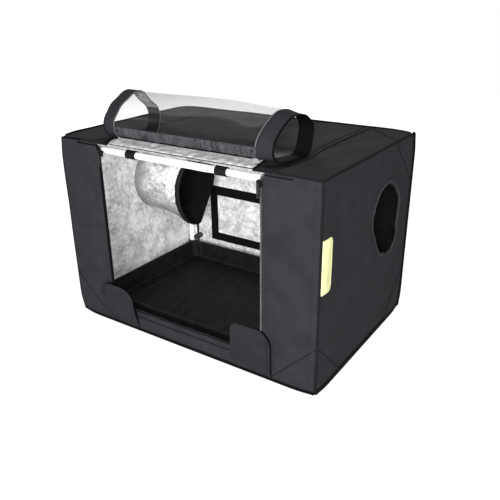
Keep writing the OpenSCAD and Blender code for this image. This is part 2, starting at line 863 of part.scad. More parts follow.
pole_along_x(-pole_y, high_z);  // front_top_pole
pole_along_x(pole_y, high_z);  // back_top_pole
pole_along_y(-pole_x, high_z);  // left_top_pole
pole_along_y(pole_x, high_z);  // right_top_pole
pole_along_x(-pole_y, low_z);  // front_bottom_pole
pole_along_x(pole_y, low_z);  // back_bottom_pole
pole_along_y(-pole_x, low_z);  // left_bottom_pole
pole_along_y(pole_x, low_z);  // right_bottom_pole
upright(-pole_x, -pole_y);  // front_left_upright
upright(pole_x, -pole_y);  // front_right_upright
upright(-pole_x, pole_y);  // back_left_upright
upright(pole_x, pole_y);  // back_right_upright
corner(false, false, true);  // front_left_top_corner
corner(true, false, true);  // front_right_top_corner
corner(false, true, true);  // back_left_top_corner
corner(true, true, true);  // back_right_top_corner
corner(false, false, false);  // front_left_bottom_corner
corner(true, false, false);  // front_right_bottom_corner
corner(false, true, false);  // back_left_bottom_corner
corner(true, true, false);  // back_right_bottom_corner
roof_panel();
floor_panel();
left_wall();
right_wall();
back_wall();
front_left_panel();
front_right_panel();
front_sill();
edge_piping();
corner_patches();
roof_seam_tapes();
pole_straps();
floor_tray();
window_film();
door_side_bands();
door_hinge_band();
door_bottom_band();
door_zip();
front_zip();
left_slider();
right_slider();
left_pull();
right_pull();
left_corner_flap();
right_corner_flap();
edge_tab();
port_rings();
left_sleeve();
right_sleeve();
cord(cord_line(left_cord));  // left_drawstring
cord(cord_line(right_cord));  // right_drawstring
cord_lock(left_cord, left_lock_drop);  // left_cord_lock
cord_lock(right_cord, right_lock_drop);  // right_cord_lock
lock_button(left_cord, left_lock_drop);  // left_lock_button
lock_button(right_cord, right_lock_drop);  // right_lock_button
lock_spring(left_cord, left_lock_drop);  // left_lock_spring
lock_spring(right_cord, right_lock_drop);  // right_lock_spring
vent_mesh();
vent_hook_strips();
vent_flap();
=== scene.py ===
"""The looks of a small grow tent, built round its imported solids. Lengths are in mm."""
import math

import bpy
import numpy as np
from mathutils import Matrix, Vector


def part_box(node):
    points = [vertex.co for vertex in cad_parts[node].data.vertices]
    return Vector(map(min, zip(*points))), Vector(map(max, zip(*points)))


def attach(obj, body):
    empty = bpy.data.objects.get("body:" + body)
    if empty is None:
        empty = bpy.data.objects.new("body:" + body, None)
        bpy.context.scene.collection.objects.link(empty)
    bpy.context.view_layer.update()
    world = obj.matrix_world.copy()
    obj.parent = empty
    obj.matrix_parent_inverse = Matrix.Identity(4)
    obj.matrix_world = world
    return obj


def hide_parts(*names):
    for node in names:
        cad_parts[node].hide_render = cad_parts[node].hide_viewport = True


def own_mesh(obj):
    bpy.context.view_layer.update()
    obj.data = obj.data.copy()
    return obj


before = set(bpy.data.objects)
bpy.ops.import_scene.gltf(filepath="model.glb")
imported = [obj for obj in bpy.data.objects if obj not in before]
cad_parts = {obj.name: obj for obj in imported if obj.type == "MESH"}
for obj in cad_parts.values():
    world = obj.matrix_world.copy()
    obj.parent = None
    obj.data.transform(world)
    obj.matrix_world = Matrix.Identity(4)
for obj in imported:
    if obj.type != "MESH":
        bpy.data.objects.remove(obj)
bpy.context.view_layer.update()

MM = 0.001

# ---------------------------------------------------------------- camera

def add_camera():
    """The photograph's view: azimuth, elevation and roll of the camera, its place and its lens"""
    az, el, roll = (math.radians(v) for v in (33.886, 23.407, -0.534))
    back = np.array([math.sin(az) * math.cos(el), -math.cos(az) * math.cos(el), math.sin(el)])
    right = np.cross(-back, [0, 0, 1])
    right /= np.linalg.norm(right)
    up = np.cross(right, -back)
    turned = (right * math.cos(roll) + up * math.sin(roll),
              up * math.cos(roll) - right * math.sin(roll), back)
    data = bpy.data.cameras.new("camera")
    data.sensor_width, data.lens = 36, 42.50
    data.clip_start, data.clip_end = 0.05, 30
    camera = bpy.data.objects.new("camera", data)
    place = Matrix(np.stack(turned, 1).tolist()).to_4x4()
    place.translation = (0.6832, -0.9746, 0.6582)
    camera.matrix_world = place
    bpy.context.scene.collection.objects.link(camera)
    bpy.context.scene.camera = camera


add_camera()

# ---------------------------------------------------------------- materials

class Finish:
    """A procedural material: its shader, and short ways to add nodes and links"""

    def __init__(self, name, **values):
        self.material = bpy.data.materials.new(name)
        self.material.use_nodes = True
        self.tree = self.material.node_tree
        self.shader = self.tree.nodes["Principled BSDF"]
        self.set(self.shader, values)

    def set(self, node, values):
        for key, value in values.items():
            key = key.replace("_", " ") if isinstance(key, str) else key
            if isinstance(value, bpy.types.NodeSocket):
                self.tree.links.new(value, node.inputs[key])
            else:
                node.inputs[key].default_value = value

    def add(self, kind, values=None, **settings):
        node = self.tree.nodes.new("ShaderNode" + kind)
        for key, value in settings.items():
            setattr(node, key, value)
        self.set(node, values or {})
        return node

    def coordinates(self, which):
        return self.add("TexCoord").outputs[which]

    def noise(self, scale, detail=3, rough=0.55, place="Object", stretch=None):
        where = self.coordinates(place)
        if stretch:
            where = self.add("Mapping", {"Vector": where, "Scale": stretch}).outputs[0]
        return self.add("TexNoise", {"Vector": where, "Scale": scale, "Detail": detail,
                                     "Roughness": rough}).outputs["Fac"]

    def maths(self, operation, a, b=0.0, clamp=False):
        return self.add("Math", {0: a, 1: b}, operation=operation, use_clamp=clamp).outputs[0]

    def level(self, value, low, high, to_low=0.0, to_high=1.0):
        node = self.add("MapRange", {"Value": value, 1: low, 2: high, 3: to_low, 4: to_high})
        return node.outputs[0]

    def mix(self, factor, a, b):
        node = self.add("Mix", data_type="RGBA")
        for socket, value in ((0, factor), (6, a), (7, b)):
            if isinstance(value, bpy.types.NodeSocket):
                self.tree.links.new(value, node.inputs[socket])
            else:
                node.inputs[socket].default_value = value
        return node.outputs[2]

    def bump(self, height, distance, strength=1.0, under=None):
        values = {"Height": height, "Distance": distance, "Strength": strength}
        if under is not None:
            values["Normal"] = under
        return self.add("Bump", values).outputs[0]


def grey(value, tint=(1, 1, 1)):
    return tuple(value * t for t in tint) + (1,)


def lighter(colour, factor, lift=0.0):
    return tuple(min(1, c * factor + lift) for c in colour[:3]) + (1,)


def weave(finish, period):
    """Height of a plain weave over the mesh's UVs, which are in metres"""
    where = finish.coordinates("UV")
    ways = []
    for direction in ("X", "Y"):
        ways.append(finish.add("TexWave", {"Vector": where, "Scale": 0.31416 / period,
                                           "Distortion": 0.6, "Detail": 1.0, "Detail Scale": 2.0},
                               bands_direction=direction).outputs["Fac"])
    return finish.maths("MULTIPLY", ways[0], ways[1])


def cloth_finish(name, colour, spread=0.16, period=0.0016, depth=0.00022, rough=0.88, sheen=0.0,
                 streaks=(28, None)):
    """Coated woven cloth: weave, uneven dye and faint rubbed patches; where streaks are stretched
    thin, the uneven tone is painted shade of fine creases
    """
    f = Finish(name, Roughness=rough, Sheen_Weight=sheen, Sheen_Roughness=0.45)
    f.shader.inputs["Specular IOR Level"].default_value = 0.06
    patches = f.noise(streaks[0], 4, stretch=streaks[1])
    specks = f.noise(420, 2)
    shade = f.maths("ADD", f.level(patches, 0.3, 0.7, 1 - spread, 1 + spread),
                    f.level(specks, 0.3, 0.7, -spread * 0.7, spread * 0.7))
    tone = f.add("Mix", {0: 1.0}, data_type="RGBA", blend_type="MULTIPLY")
    tone.inputs[6].default_value = colour
    f.tree.links.new(shade, tone.inputs[7])
    rubbed = f.level(f.noise(9, 5, 0.6), 0.52, 0.75, 0, 0.25)
    f.set(f.shader, {"Base Color": f.mix(rubbed, tone.outputs[2], lighter(colour, 1.35))})
    creases = f.bump(f.noise(34, 5, 0.6), 0.0016, 0.35)
    f.set(f.shader, {"Normal": f.bump(weave(f, period), depth, 0.6, creases),
                     "Roughness": f.level(patches, 0.3, 0.7, rough - 0.06, min(1, rough + 0.06))})
    return f.material


def lining_finish(name="silver_lining", metal=0.22, low=0.42, high=1.0, fall=None):
    """Pebbled reflective film on the inside of the cover, mottled where it lies unevenly; fall
    paints shade onto it, full at one place along an axis and gone at another
    """
    f = Finish(name, Metallic=metal, Roughness=0.38)
    cells = f.add("TexVoronoi",
                  {"Vector": f.coordinates("Object"), "Scale": 210, "Smoothness": 0.6},
                  feature="SMOOTH_F1").outputs["Distance"]
    cloudy, fine = f.noise(26, 5, 0.66), f.noise(120, 4, 0.65)
    shade = f.maths("ADD", f.level(cloudy, 0.4, 0.6, 0.0, 0.5), f.level(fine, 0.38, 0.6, 0.0, 0.5))
    # Painted shade: the colour darkens towards the first place given for each axis
    if fall:
        place = f.add("SeparateXYZ", {"Vector": f.coordinates("Object")}).outputs
        for axis, painted_shade, light in fall:
            shade = f.maths("MULTIPLY", shade, f.level(place[axis], painted_shade, light, 0.0, 1.0))
    f.set(f.shader, {"Base Color": f.mix(shade, grey(low, (1, 1.01, 1.02)),
                                         grey(high, (0.995, 1, 1.01))),
                     "Roughness": f.level(fine, 0.3, 0.7, 0.26, 0.5)})
    big = f.bump(cloudy, 0.006, 0.45)
    f.set(f.shader, {"Normal": f.bump(cells, 0.0018, 0.75, big)})
    return f.material


def mylar_finish():
    """Bright crinkled reflective strip along the door's seam"""
    f = Finish("crinkled_silver", Metallic=0.25, Roughness=0.3)
    tone = f.noise(95, 4, 0.6)
    f.set(f.shader, {"Base Color": f.mix(f.level(tone, 0.35, 0.65), grey(0.5), grey(0.85)),
                     "Normal": f.bump(f.noise(260, 4, 0.65, stretch=(1, 0.4, 0.4)), 0.0016, 0.6)})
    return f.material


def film_finish():
    """Clear soft film: it shows what is behind it, with a faint haze and long soft ripples"""
    f = Finish("clear_film", Base_Color=grey(0.45, (0.98, 1, 1.01)), Roughness=0.38)
    f.shader.inputs["Specular IOR Level"].default_value = 0.6
    ripple = f.bump(f.noise(14, 3, 0.5, stretch=(0.5, 2, 2)), 0.004, 0.35)
    f.set(f.shader, {"Normal": ripple})
    edge = f.add("Fresnel", {"IOR": 1.28, "Normal": ripple}).outputs[0]
    haze = f.level(f.noise(45, 4, 0.6), 0.35, 0.7, 0.004, 0.010)
    amount = f.maths("ADD", f.maths("MULTIPLY", edge, 0.12), haze, clamp=True)
    clear = f.add("BsdfTransparent", {"Color": grey(0.91)}).outputs[0]
    both = f.add("MixShader", {0: amount, 1: clear, 2: f.shader.outputs[0]}).outputs[0]
    f.tree.links.new(both, f.tree.nodes["Material Output"].inputs["Surface"])
    return f.material


def plastic_finish(name, colour, rough=0.45, grain=0.0003, scale=900):
    """Moulded plastic with a fine texture and slight unevenness"""
    f = Finish(name, Roughness=rough)
    tone = f.noise(40, 3)
    f.set(f.shader, {"Base Color": f.mix(f.level(tone, 0.35, 0.65), colour,
                                         lighter(colour, 1.25, 0.004)),
                     "Roughness": f.level(f.noise(120, 3), 0.3, 0.7, rough - 0.07, rough + 0.1),
                     "Normal": f.bump(f.noise(scale, 2), grain, 0.3)})
    return f.material


def metal_finish(name, colour, rough):
    """Plated or dark metal with fine scuffs"""
    f = Finish(name, Metallic=1.0, Roughness=rough)
    scuffs = f.noise(500, 3, 0.6, stretch=(1, 1, 6))
    f.set(f.shader, {"Base Color": f.mix(f.level(f.noise(90, 3), 0.35, 0.65), colour,
                                         lighter(colour, 1.15)),
                     "Roughness": f.level(scuffs, 0.3, 0.7, rough - 0.08, rough + 0.12),
                     "Normal": f.bump(scuffs, 0.00015, 0.25)})
    return f.material


def pole_finish():
    """White enamel on steel tube"""
    f = Finish("white_enamel", Roughness=0.3, Coat_Weight=0.35, Coat_Roughness=0.12)
    f.set(f.shader, {"Base Color": f.mix(f.level(f.noise(30, 4), 0.35, 0.7), grey(0.93),
                                         grey(0.97)),
                     "Roughness": f.level(f.noise(220, 3), 0.3, 0.7, 0.24, 0.38),
                     "Normal": f.bump(f.noise(350, 2), 0.0002, 0.3)})
    return f.material


CLOTH_COLOUR = grey(0.0295, (0.98, 0.95, 1.10))
CLOTH = cloth_finish("charcoal_cloth", CLOTH_COLOUR)
BLACK = cloth_finish("black_tape", grey(0.004, (1, 0.98, 1.05)), period=0.0011, depth=0.00016)
SEAM_CLOTH = cloth_finish("seam_tape", grey(0.0125, (1, 0.98, 1.06)), period=0.0011, depth=0.00016)
# The flaps' cloth, darker than the cover's as painted shade where they lean forward and face down
FLAP_CLOTH = cloth_finish("flap_cloth_painted_shade", grey(0.0255, (0.98, 0.95, 1.10)))
WEBBING = cloth_finish("black_webbing", grey(0.013, (1, 0.98, 1.03)), period=0.0019, depth=0.0004)
THREAD = cloth_finish("thread", grey(0.03, (1, 0.98, 1.05)), period=0.0005, depth=0.0001)
PALE_THREAD = cloth_finish("pale_thread", grey(0.16), period=0.0005, depth=0.0001)
CORD = cloth_finish("braided_cord", grey(0.014), period=0.0008, depth=0.0003)
NET = cloth_finish("vent_net", grey(0.02), period=0.0006, depth=0.0001)
# The gathered band: its long light and dark streaks are painted shade of its vertical wrinkles
HEM = cloth_finish("gathered_cloth", grey(0.062, (0.98, 0.96, 1.08)), 0.5,
                   streaks=(260, (1, 0.03, 0.03)))
PALE_LINE = cloth_finish("pale_rim_line", grey(0.075, (0.98, 0.97, 1.05)))
LIME = cloth_finish("lime_webbing", (0.94, 0.96, 0.50, 1), spread=0.05, period=0.0013, rough=0.7)
SILVER = lining_finish()
EDGE_SILVER = lining_finish("edge_lining", 0.3, 0.22, 0.6)
# The sleeve's lining carries painted shade: darker near its root at the left wall and towards its
# underside
SLEEVE = lining_finish("sleeve_lining", 0.3, 0.22, 0.85, ((0, -0.292, -0.255), (2, 0.165, 0.235)))
MYLAR = mylar_finish()
FILM = film_finish()
PLASTIC = plastic_finish("black_plastic", grey(0.018))
TRAY_PLASTIC = plastic_finish("tray_plastic", grey(0.003), 0.62, 0.0005, 300)
TRAY_PLASTIC.node_tree.nodes["Principled BSDF"].inputs["Specular IOR Level"].default_value = 0.15
# Pale grey teeth: a painted highlight on the teeth that catch the light
GLINT_TEETH = plastic_finish("zip_teeth_painted_highlight", grey(0.17), 0.35, 0.0001)
DARK_METAL = metal_finish("zip_metal", grey(0.045, (1, 0.98, 0.97)), 0.4)
STEEL = metal_finish("spring_steel", grey(0.55), 0.28)
POLE = pole_finish()

# ---------------------------------------------------------------- helpers for shapes

def smooth(x):
    x = np.clip(x, 0, 1)
    return x * x * (3 - 2 * x)


def waves(seed, count, low, high):
    """A smooth surface of about -1 to 1: sines of wavelengths from low to high"""
    rng = np.random.default_rng(seed)
    turn, shift = rng.uniform(0, np.pi, count), rng.uniform(0, 2 * np.pi, count)
    rate = 2 * np.pi / np.exp(rng.uniform(np.log(low), np.log(high), count))

    def at(a, b):
        a, b = np.broadcast_arrays(np.asarray(a, float), np.asarray(b, float))
        total = np.zeros(a.shape)
        for t, s, k in zip(turn, shift, rate):
            total += np.sin(k * (a * np.cos(t) + b * np.sin(t)) + s)
        return total / math.sqrt(count)
    return at


FOLD_HEIGHT, FOLD_WIDTH = 0.5, 1.6


def fold(a, b, start, end, width, height):
    """A soft fold in cloth from start to end: a ridge with a hollow beside it"""
    start, end = np.array(start, float), np.array(end, float)
    run = end - start
    length = np.linalg.norm(run)
    along = ((a - start[0]) * run[0] + (b - start[1]) * run[1]) / length ** 2
    side = ((a - start[0]) * run[1] - (b - start[1]) * run[0]) / length / (width * FOLD_WIDTH)
    ends = smooth(along / 0.3) * smooth((1 - along) / 0.3)
    return height * ends * (np.exp(-side ** 2) - 0.7 * np.exp(-(side - 1.7) ** 2)) * FOLD_HEIGHT


def arc_lengths(grid):
    """UVs of a grid of points, in metres: distance along its columns and its rows"""
    down = np.linalg.norm(np.diff(grid, axis=0), axis=2)
    across = np.linalg.norm(np.diff(grid, axis=1), axis=2)
    u = np.concatenate([np.zeros((1, grid.shape[1])), np.cumsum(down, 0)]) * MM
    v = np.concatenate([np.zeros((grid.shape[0], 1)), np.cumsum(across, 1)], 1) * MM
    return np.stack([u, v], -1)


def make(name, points, faces, materials, body, replaces=(), uvs=None, indices=None, sharp=48):
    """A mesh object in metres from points in mm, riding on its body"""
    mesh = bpy.data.meshes.new(name)
    mesh.from_pydata((np.asarray(points, float) * MM).tolist(), [], [tuple(f) for f in faces])
    for material in materials:
        mesh.materials.append(material)
    if indices is not None:
        mesh.polygons.foreach_set("material_index", np.asarray(indices, np.int32))
    mesh.polygons.foreach_set("use_smooth", np.ones(len(mesh.polygons), bool))
    if uvs is not None:
        layer = mesh.uv_layers.new(name="UVMap")
        layer.data.foreach_set("uv", np.asarray(uvs, float).ravel())
    mesh.validate()
    mesh.set_sharp_from_angle(angle=math.radians(sharp))
    obj = bpy.data.objects.new(name, mesh)
    bpy.context.scene.collection.objects.link(obj)
    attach(obj, body)
    if replaces:
        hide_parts(*replaces)
    return obj


class Pile:
    """Collects several closed forms that make one mesh"""

    def __init__(self):
        self.points, self.faces, self.uvs, self.indices, self.count = [], [], [], [], 0

    def put(self, points, faces, uvs=None, index=0):
        points = np.asarray(points, float).reshape(-1, 3)
        self.points.append(points)
        index = np.broadcast_to(index, len(faces))
        for k, face in enumerate(faces):
            self.faces.append([i + self.count for i in face])
            self.indices.append(int(index[k]))
            if uvs is None:
                self.uvs.extend((points[i][:2] * MM).tolist() for i in face)
        if uvs is not None:
            self.uvs.extend(np.asarray(uvs).tolist())
        self.count += len(points)

    def sheet(self, outer, inner, index=0, **options):
        points, faces, uvs, _ = shell_parts(outer, inner, **options)
        self.put(points, faces.tolist(), uvs, index)

    def tube(self, path, radius, sides=8, index=0, **options):
        points, faces = tube_parts(path, radius, sides, **options)
        self.put(points, faces, None, index)

    def make(self, name, materials, body, slot, replaces=(), sharp=48):
        return make(name, np.concatenate(self.points), self.faces, materials, body, replaces,
                    self.uvs, self.indices, sharp)


def shell_parts(outer, inner, uv=None, wrap=False, keep=None, paint=None):
    """Points, faces, UVs and material numbers of a closed sheet between two grids of points:
    0 on the outer side, 1 on the inner side and 2 round the rim"""
    rows, columns = outer.shape[:2]
    index = np.arange(rows * columns).reshape(rows, columns)
    if wrap:
        index = np.concatenate([index, index[:, :1]], 1)
        closed = np.concatenate([outer, outer[:, :1]], 1)
    else:
        closed = outer
    uv = arc_lengths(closed) if uv is None else uv
    cells = [(slice(None, -1), slice(None, -1)), (slice(1, None), slice(None, -1)),
             (slice(1, None), slice(1, None)), (slice(None, -1), slice(1, None))]
    quads = np.stack([index[c] for c in cells], -1)
    quad_uv = np.stack([uv[c] for c in cells], -2)
    if keep is not None:
        quads, quad_uv = quads[keep], quad_uv[keep]
    quads, quad_uv = quads.reshape(-1, 4), quad_uv.reshape(-1, 4, 2)
    size = rows * columns
    start = quads.ravel()
    end = np.roll(quads, -1, 1).ravel()
    rim = ~np.isin(start * size + end, end * size + start)
    rim_uv = np.stack([quad_uv.reshape(-1, 2), np.roll(quad_uv, -1, 1).reshape(-1, 2)], 1)[rim]
    sides = np.stack([end[rim], start[rim], start[rim] + size, end[rim] + size], 1)
    side_uv = np.stack([rim_uv[:, 1], rim_uv[:, 0], rim_uv[:, 0] + 0.001, rim_uv[:, 1] + 0.001], 1)
    faces = np.concatenate([quads, quads[:, ::-1] + size, sides])
    points = np.concatenate([outer.reshape(-1, 3), inner.reshape(-1, 3)])
    numbers = np.repeat([0, 1, 2], [len(quads), len(quads), len(sides)])
    if paint is not None:
        numbers = paint(points[faces].mean(1), numbers)
    uvs = np.concatenate([quad_uv, quad_uv[:, ::-1], side_uv])
    corners = points[faces]
    volume = np.einsum("ij,ij->i", corners[:, 0], np.cross(corners[:, 1], corners[:, 2])).sum() \
        + np.einsum("ij,ij->i", corners[:, 0], np.cross(corners[:, 2], corners[:, 3])).sum()
    if volume < 0:
        faces, uvs = faces[:, ::-1], uvs[:, ::-1]
    used = np.zeros(len(points), bool)
    used[faces] = True
    renumber = np.cumsum(used) - 1
    return points[used], renumber[faces], uvs.reshape(-1, 2), numbers


def shell(name, outer, inner, materials, body, slot, replaces=(), sharp=48, **options):
    """A closed sheet; materials are those of its outer side, its inner side and its rim"""
    points, faces, uvs, numbers = shell_parts(outer, inner, **options)
    return make(name, points, faces, materials, body, replaces, uvs, numbers, sharp)


def lattice(a, b):
    return np.meshgrid(a, b, indexing="ij")


def unit(v):
    return v / np.maximum(np.linalg.norm(v, axis=-1, keepdims=True), 1e-9)


# A tube's rounded ends: how far two more rings stand out, and how wide they are
CAP_OUT, CAP_SIZE = np.array([0.8, 0.2]), np.array([0.35, 0.8])


def tube_parts(path, radius, sides=8, closed=False, up=(0, 0, 1)):
    """A round tube along a path, with rounded ends when it is open"""
    path = np.asarray(path, float)
    if closed:
        tangent = unit(np.roll(path, -1, 0) - np.roll(path, 1, 0))
    else:
        tangent = unit(np.gradient(path, axis=0))
    normal = np.array(up, float)
    normals = []
    for t in tangent:
        normal = normal - t * (normal @ t)
        if np.linalg.norm(normal) < 1e-3:
            normal = np.cross(t, [1, 0.3, 0])
        normal /= np.linalg.norm(normal)
        normals.append(normal)
    normals = np.array(normals)
    binormals = np.cross(tangent, normals)
    sizes = np.ones(len(path))
    if not closed:
        start = path[0] - tangent[0] * radius * CAP_OUT[:, None]
        end = path[-1] + tangent[-1] * radius * CAP_OUT[::-1, None]
        path = np.concatenate([start, path, end])
        sizes = np.concatenate([CAP_SIZE, sizes, CAP_SIZE[::-1]])
        normals, binormals = (np.concatenate([v[:1], v[:1], v, v[-1:], v[-1:]])
                              for v in (normals, binormals))
    turn = np.linspace(0, 2 * np.pi, sides, endpoint=False)
    rings = np.array([c + s * radius * (np.outer(np.cos(turn), a) + np.outer(np.sin(turn), b))
                      for c, s, a, b in zip(path, sizes, normals, binormals)])
    count = len(rings)
    faces = []
    for i in range(count if closed else count - 1):
        j = (i + 1) % count
        for k in range(sides):
            m = (k + 1) % sides
            faces.append([i * sides + k, i * sides + m, j * sides + m, j * sides + k])
    if not closed:
        faces.append(list(range(sides))[::-1])
        faces.append([(count - 1) * sides + k for k in range(sides)])
    return rings.reshape(-1, 3), faces


BLOCK = np.array([[x, y, z] for z in (-1, 1) for y in (-1, 1) for x in (-1, 1)], float)
BLOCK_FACES = [[0, 2, 3, 1], [4, 5, 7, 6], [0, 1, 5, 4], [2, 6, 7, 3], [0, 4, 6, 2], [1, 3, 7, 5]]


def add_blocks(pile, centres, along, out, size, taper=0.62, index=0):
    """Small blocks with narrowed tops, such as stitches or teeth: size is length, width, height"""
    centres, along, out = (np.asarray(v, float) for v in (centres, along, out))
    along, out = np.broadcast_to(along, centres.shape), np.broadcast_to(out, centres.shape)
    along = unit(along)
    out = unit(out - along * (along * out).sum(1, keepdims=True))
    side = np.cross(out, along)
    shape = BLOCK * np.array(size) / 2
    shape[4:, :2] *= taper
    for c, a, s, o in zip(centres, along, side, out):
        pile.put(c + shape @ np.array([a, s, o]), BLOCK_FACES, index=index)


def resample(path, pitch):
    """Points evenly spaced along a path, and the path's direction there"""
    path = np.asarray(path, float)
    distance = np.concatenate([[0], np.cumsum(np.linalg.norm(np.diff(path, axis=0), axis=1))])
    count = max(2, int(round(distance[-1] / pitch)))
    at = (np.arange(count) + 0.5) * distance[-1] / count

    def along(where):
        return np.stack([np.interp(where, distance, column) for column in path.T], 1)

    ahead, behind = along(np.minimum(at + 0.5, distance[-1])), along(np.maximum(at - 0.5, 0))
    return along(at), ahead - behind


# ---------------------------------------------------------------- cords

def catmull(points, pitch=1.5):
    """A smooth curve through points, sampled about every pitch"""
    p = np.asarray(points, float)
    p = np.concatenate([[2 * p[0] - p[1]], p, [2 * p[-1] - p[-2]]])
    out = []
    for i in range(1, len(p) - 2):
        a, b, c, d = p[i - 1:i + 3]
        steps = max(2, int(np.linalg.norm(c - b) / pitch))
        for t in np.arange(steps) / steps:
            out.append(0.5 * (2 * b + (c - a) * t + (2 * a - 5 * b + 4 * c - d) * t ** 2
                              + (3 * b - a - 3 * c + d) * t ** 3))
    out.append(p[-2])
    return np.array(out)


# Half of a drawstring's loop: distance from its middle, and drop below the sleeve
LOOP_DROP = [(1.65, 0), (1.65, 8), (1.65, 16), (1.65, 24), (1.65, 32), (1.65, 40), (1.65, 46),
             (2.2, 52), (3.6, 58), (5.4, 64), (7, 70), (7.6, 76), (6.6, 82), (3.9, 86.2), (0, 88)]
CORD_R = 1.5


def lock_spring(side):
    """The coil behind a cord lock's button, which shortens as the button is pressed"""
    low, high = (np.array(c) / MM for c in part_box(side + "_lock_spring"))
    middle, wire, turns = (low + high) / 2, 0.35, 5
    radius = (high[0] - low[0]) / 2 - wire
    t = np.linspace(0, 1, turns * 16 + 1)
    path = np.stack([middle[0] + radius * np.cos(2 * np.pi * turns * t),
                     low[1] + wire + (high[1] - low[1] - 2 * wire) * t,
                     middle[2] + radius * np.sin(2 * np.pi * turns * t)], -1)
    pile = Pile()
    pile.tube(path, wire, 6, up=(0, 1, 0))
    obj = pile.make(side + "_lock_coil", [STEEL], side + "_lock", "spring_steel",
                    (side + "_lock_spring",))
    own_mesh(obj)
    return obj


def drawstring(name, top):
    """A sleeve's drawstring: two strands side by side, hanging as a loop"""
    x, y, z = top
    down = [(x + half, y, z - drop) for half, drop in LOOP_DROP]
    up = [(x - half, y, z - drop) for half, drop in LOOP_DROP[-2::-1]]
    path = catmull(down + up)
    curve = bpy.data.curves.new(name, "CURVE")
    curve.dimensions = "3D"
    curve.bevel_depth = CORD_R * MM
    curve.bevel_resolution = 3
    curve.use_fill_caps = True
    spline = curve.splines.new("POLY")
    spline.points.add(len(path) - 1)
    for point, place in zip(spline.points, path):
        point.co = tuple(place * MM) + (1,)
    curve.materials.append(CORD)
    obj = bpy.data.objects.new(name + "_cord", curve)
    bpy.context.scene.collection.objects.link(obj)
    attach(obj, "tent")
    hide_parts(name)
    side = name.split("_")[0]
    pieces = [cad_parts[side + part] for part in ("_cord_lock", "_lock_button")]
    pieces.append(lock_spring(side))


LEFT_TIP = (-184, 87, 140.72)
RIGHT_TIP = (184, 75, 236.7)
drawstring("left_drawstring", LEFT_TIP)
drawstring("right_drawstring", RIGHT_TIP)

# ---------------------------------------------------------------- the cover's surface

HALF = np.array([300.0, 200.0, 200.0])
PORT = (75.0, 250.0)
ROUND_REACH = 26


def soften(p):
    """Pulls the eight corners of the box in, as the cloth does over the frame's connectors"""
    p = np.array(p, float)
    away = p - [0, 0, 200]
    near = np.maximum(HALF - np.abs(away), -4)
    depth = 1.8 + 1.3 * ((away[..., 0] < 0) & (away[..., 1] < 0) & (away[..., 2] < 0))
    pull = depth * np.exp(-(near ** 2).sum(-1) / ROUND_REACH ** 2)
    return p - np.sign(away) * pull[..., None]


def edge_fade(a, b, half_a, half_b, width):
    return smooth((half_a - np.abs(a)) / width) * smooth((half_b - np.abs(b)) / width)


ROOF_WAVES, ROOF_RIPPLE = waves(3, 9, 90, 240), waves(4, 10, 26, 60)
SIDE_WAVES, SIDE_RIPPLE = waves(5, 9, 90, 230), waves(6, 10, 24, 60)
FRONT_WAVES = waves(7, 10, 40, 120)
ROOF_FOLDS = [((206, -160), (262, -40), 9, 1.8), ((212, -60), (285, 90), 10, 1.6),
              ((225, -170), (290, -120), 8, 1.4), ((200, 40), (250, 185), 11, 1.6),
              ((-206, -150), (-270, -20), 9, 1.6), ((-120, -20), (-260, 150), 12, 1.6),
              ((60, 0), (150, 170), 13, 1.4), ((-40, 10), (30, 180), 12, 1.3),
              ((150, -25), (235, 60), 9, 1.5)]
SIDE_FOLDS = [((-180, 60), (-60, 190), 11, 1.3), ((-150, 330), (-20, 290), 10, 1.3),
              ((20, 60), (150, 110), 12, 1.2), ((-10, 390), (60, 335), 9, 1.3),
              ((170, 380), (140, 300), 9, 1.2)]
FRONT_FOLDS = [((225, 60), (270, 160), 9, 1.0), ((240, 350), (265, 230), 9, 1.0),
               ((222, 200), (262, 240), 8, 0.9)]


def roof_rise(x, y):
    """The slack roof sags, and it dips under the rolled door"""
    hold = edge_fade(x, y, 295, 195, 34)
    sag = -4.2 * (1 - (x / 300) ** 2) * (1 - (y / 200) ** 2)
    dent = -9.5 * smooth((228 - np.abs(x)) / 36) * np.exp(-(np.abs(y + 97) / 58) ** 4)
    folds = sum(fold(x, y, *f) for f in ROOF_FOLDS)
    return hold * (sag + dent + folds + 0.9 * ROOF_WAVES(x, y) + 0.3 * ROOF_RIPPLE(x, y))


def side_rise(y, z, shift):
    hold = edge_fade(y, z - 200, 195, 195, 34)
    port = smooth((np.hypot(y - PORT[0], z - PORT[1]) - 87) / 30)
    folds = sum(fold(y, z, *f) for f in SIDE_FOLDS)
    return hold * port * (folds + 0.8 * SIDE_WAVES(y + shift, z)
                          + 0.3 * SIDE_RIPPLE(y + shift, z) - 0.6)


def back_rise(x, z):
    hold = edge_fade(x, z - 200, 295, 195, 34)
    vent = np.maximum(smooth((np.abs(x) - 230) / 30), smooth((z - 208) / 30))
    return hold * vent * (1.1 * SIDE_WAVES(x + 700, z) + 0.35 * SIDE_RIPPLE(x + 700, z))


def front_rise(x, z):
    """The columns swell a little, with a rounded welt beside the corner piping"""
    column = (smooth((np.abs(x) - 206) / 16) * smooth((295 - np.abs(x)) / 5)
              * smooth((195 - np.abs(z - 200)) / 20))
    welt = 1.5 * np.exp(-((np.abs(x) - 288.5) / 3.8) ** 2)
    folds = sum(fold(np.abs(x), z, *f) for f in FRONT_FOLDS)
    return column * (welt + folds + 0.7 * FRONT_WAVES(x, z))


RISE = {"roof": roof_rise, "right": lambda y, z: side_rise(y, z, 0),
        "left": lambda y, z: side_rise(y, z, 300), "back": back_rise, "front": front_rise,
        "floor": lambda x, y: 0 * x}


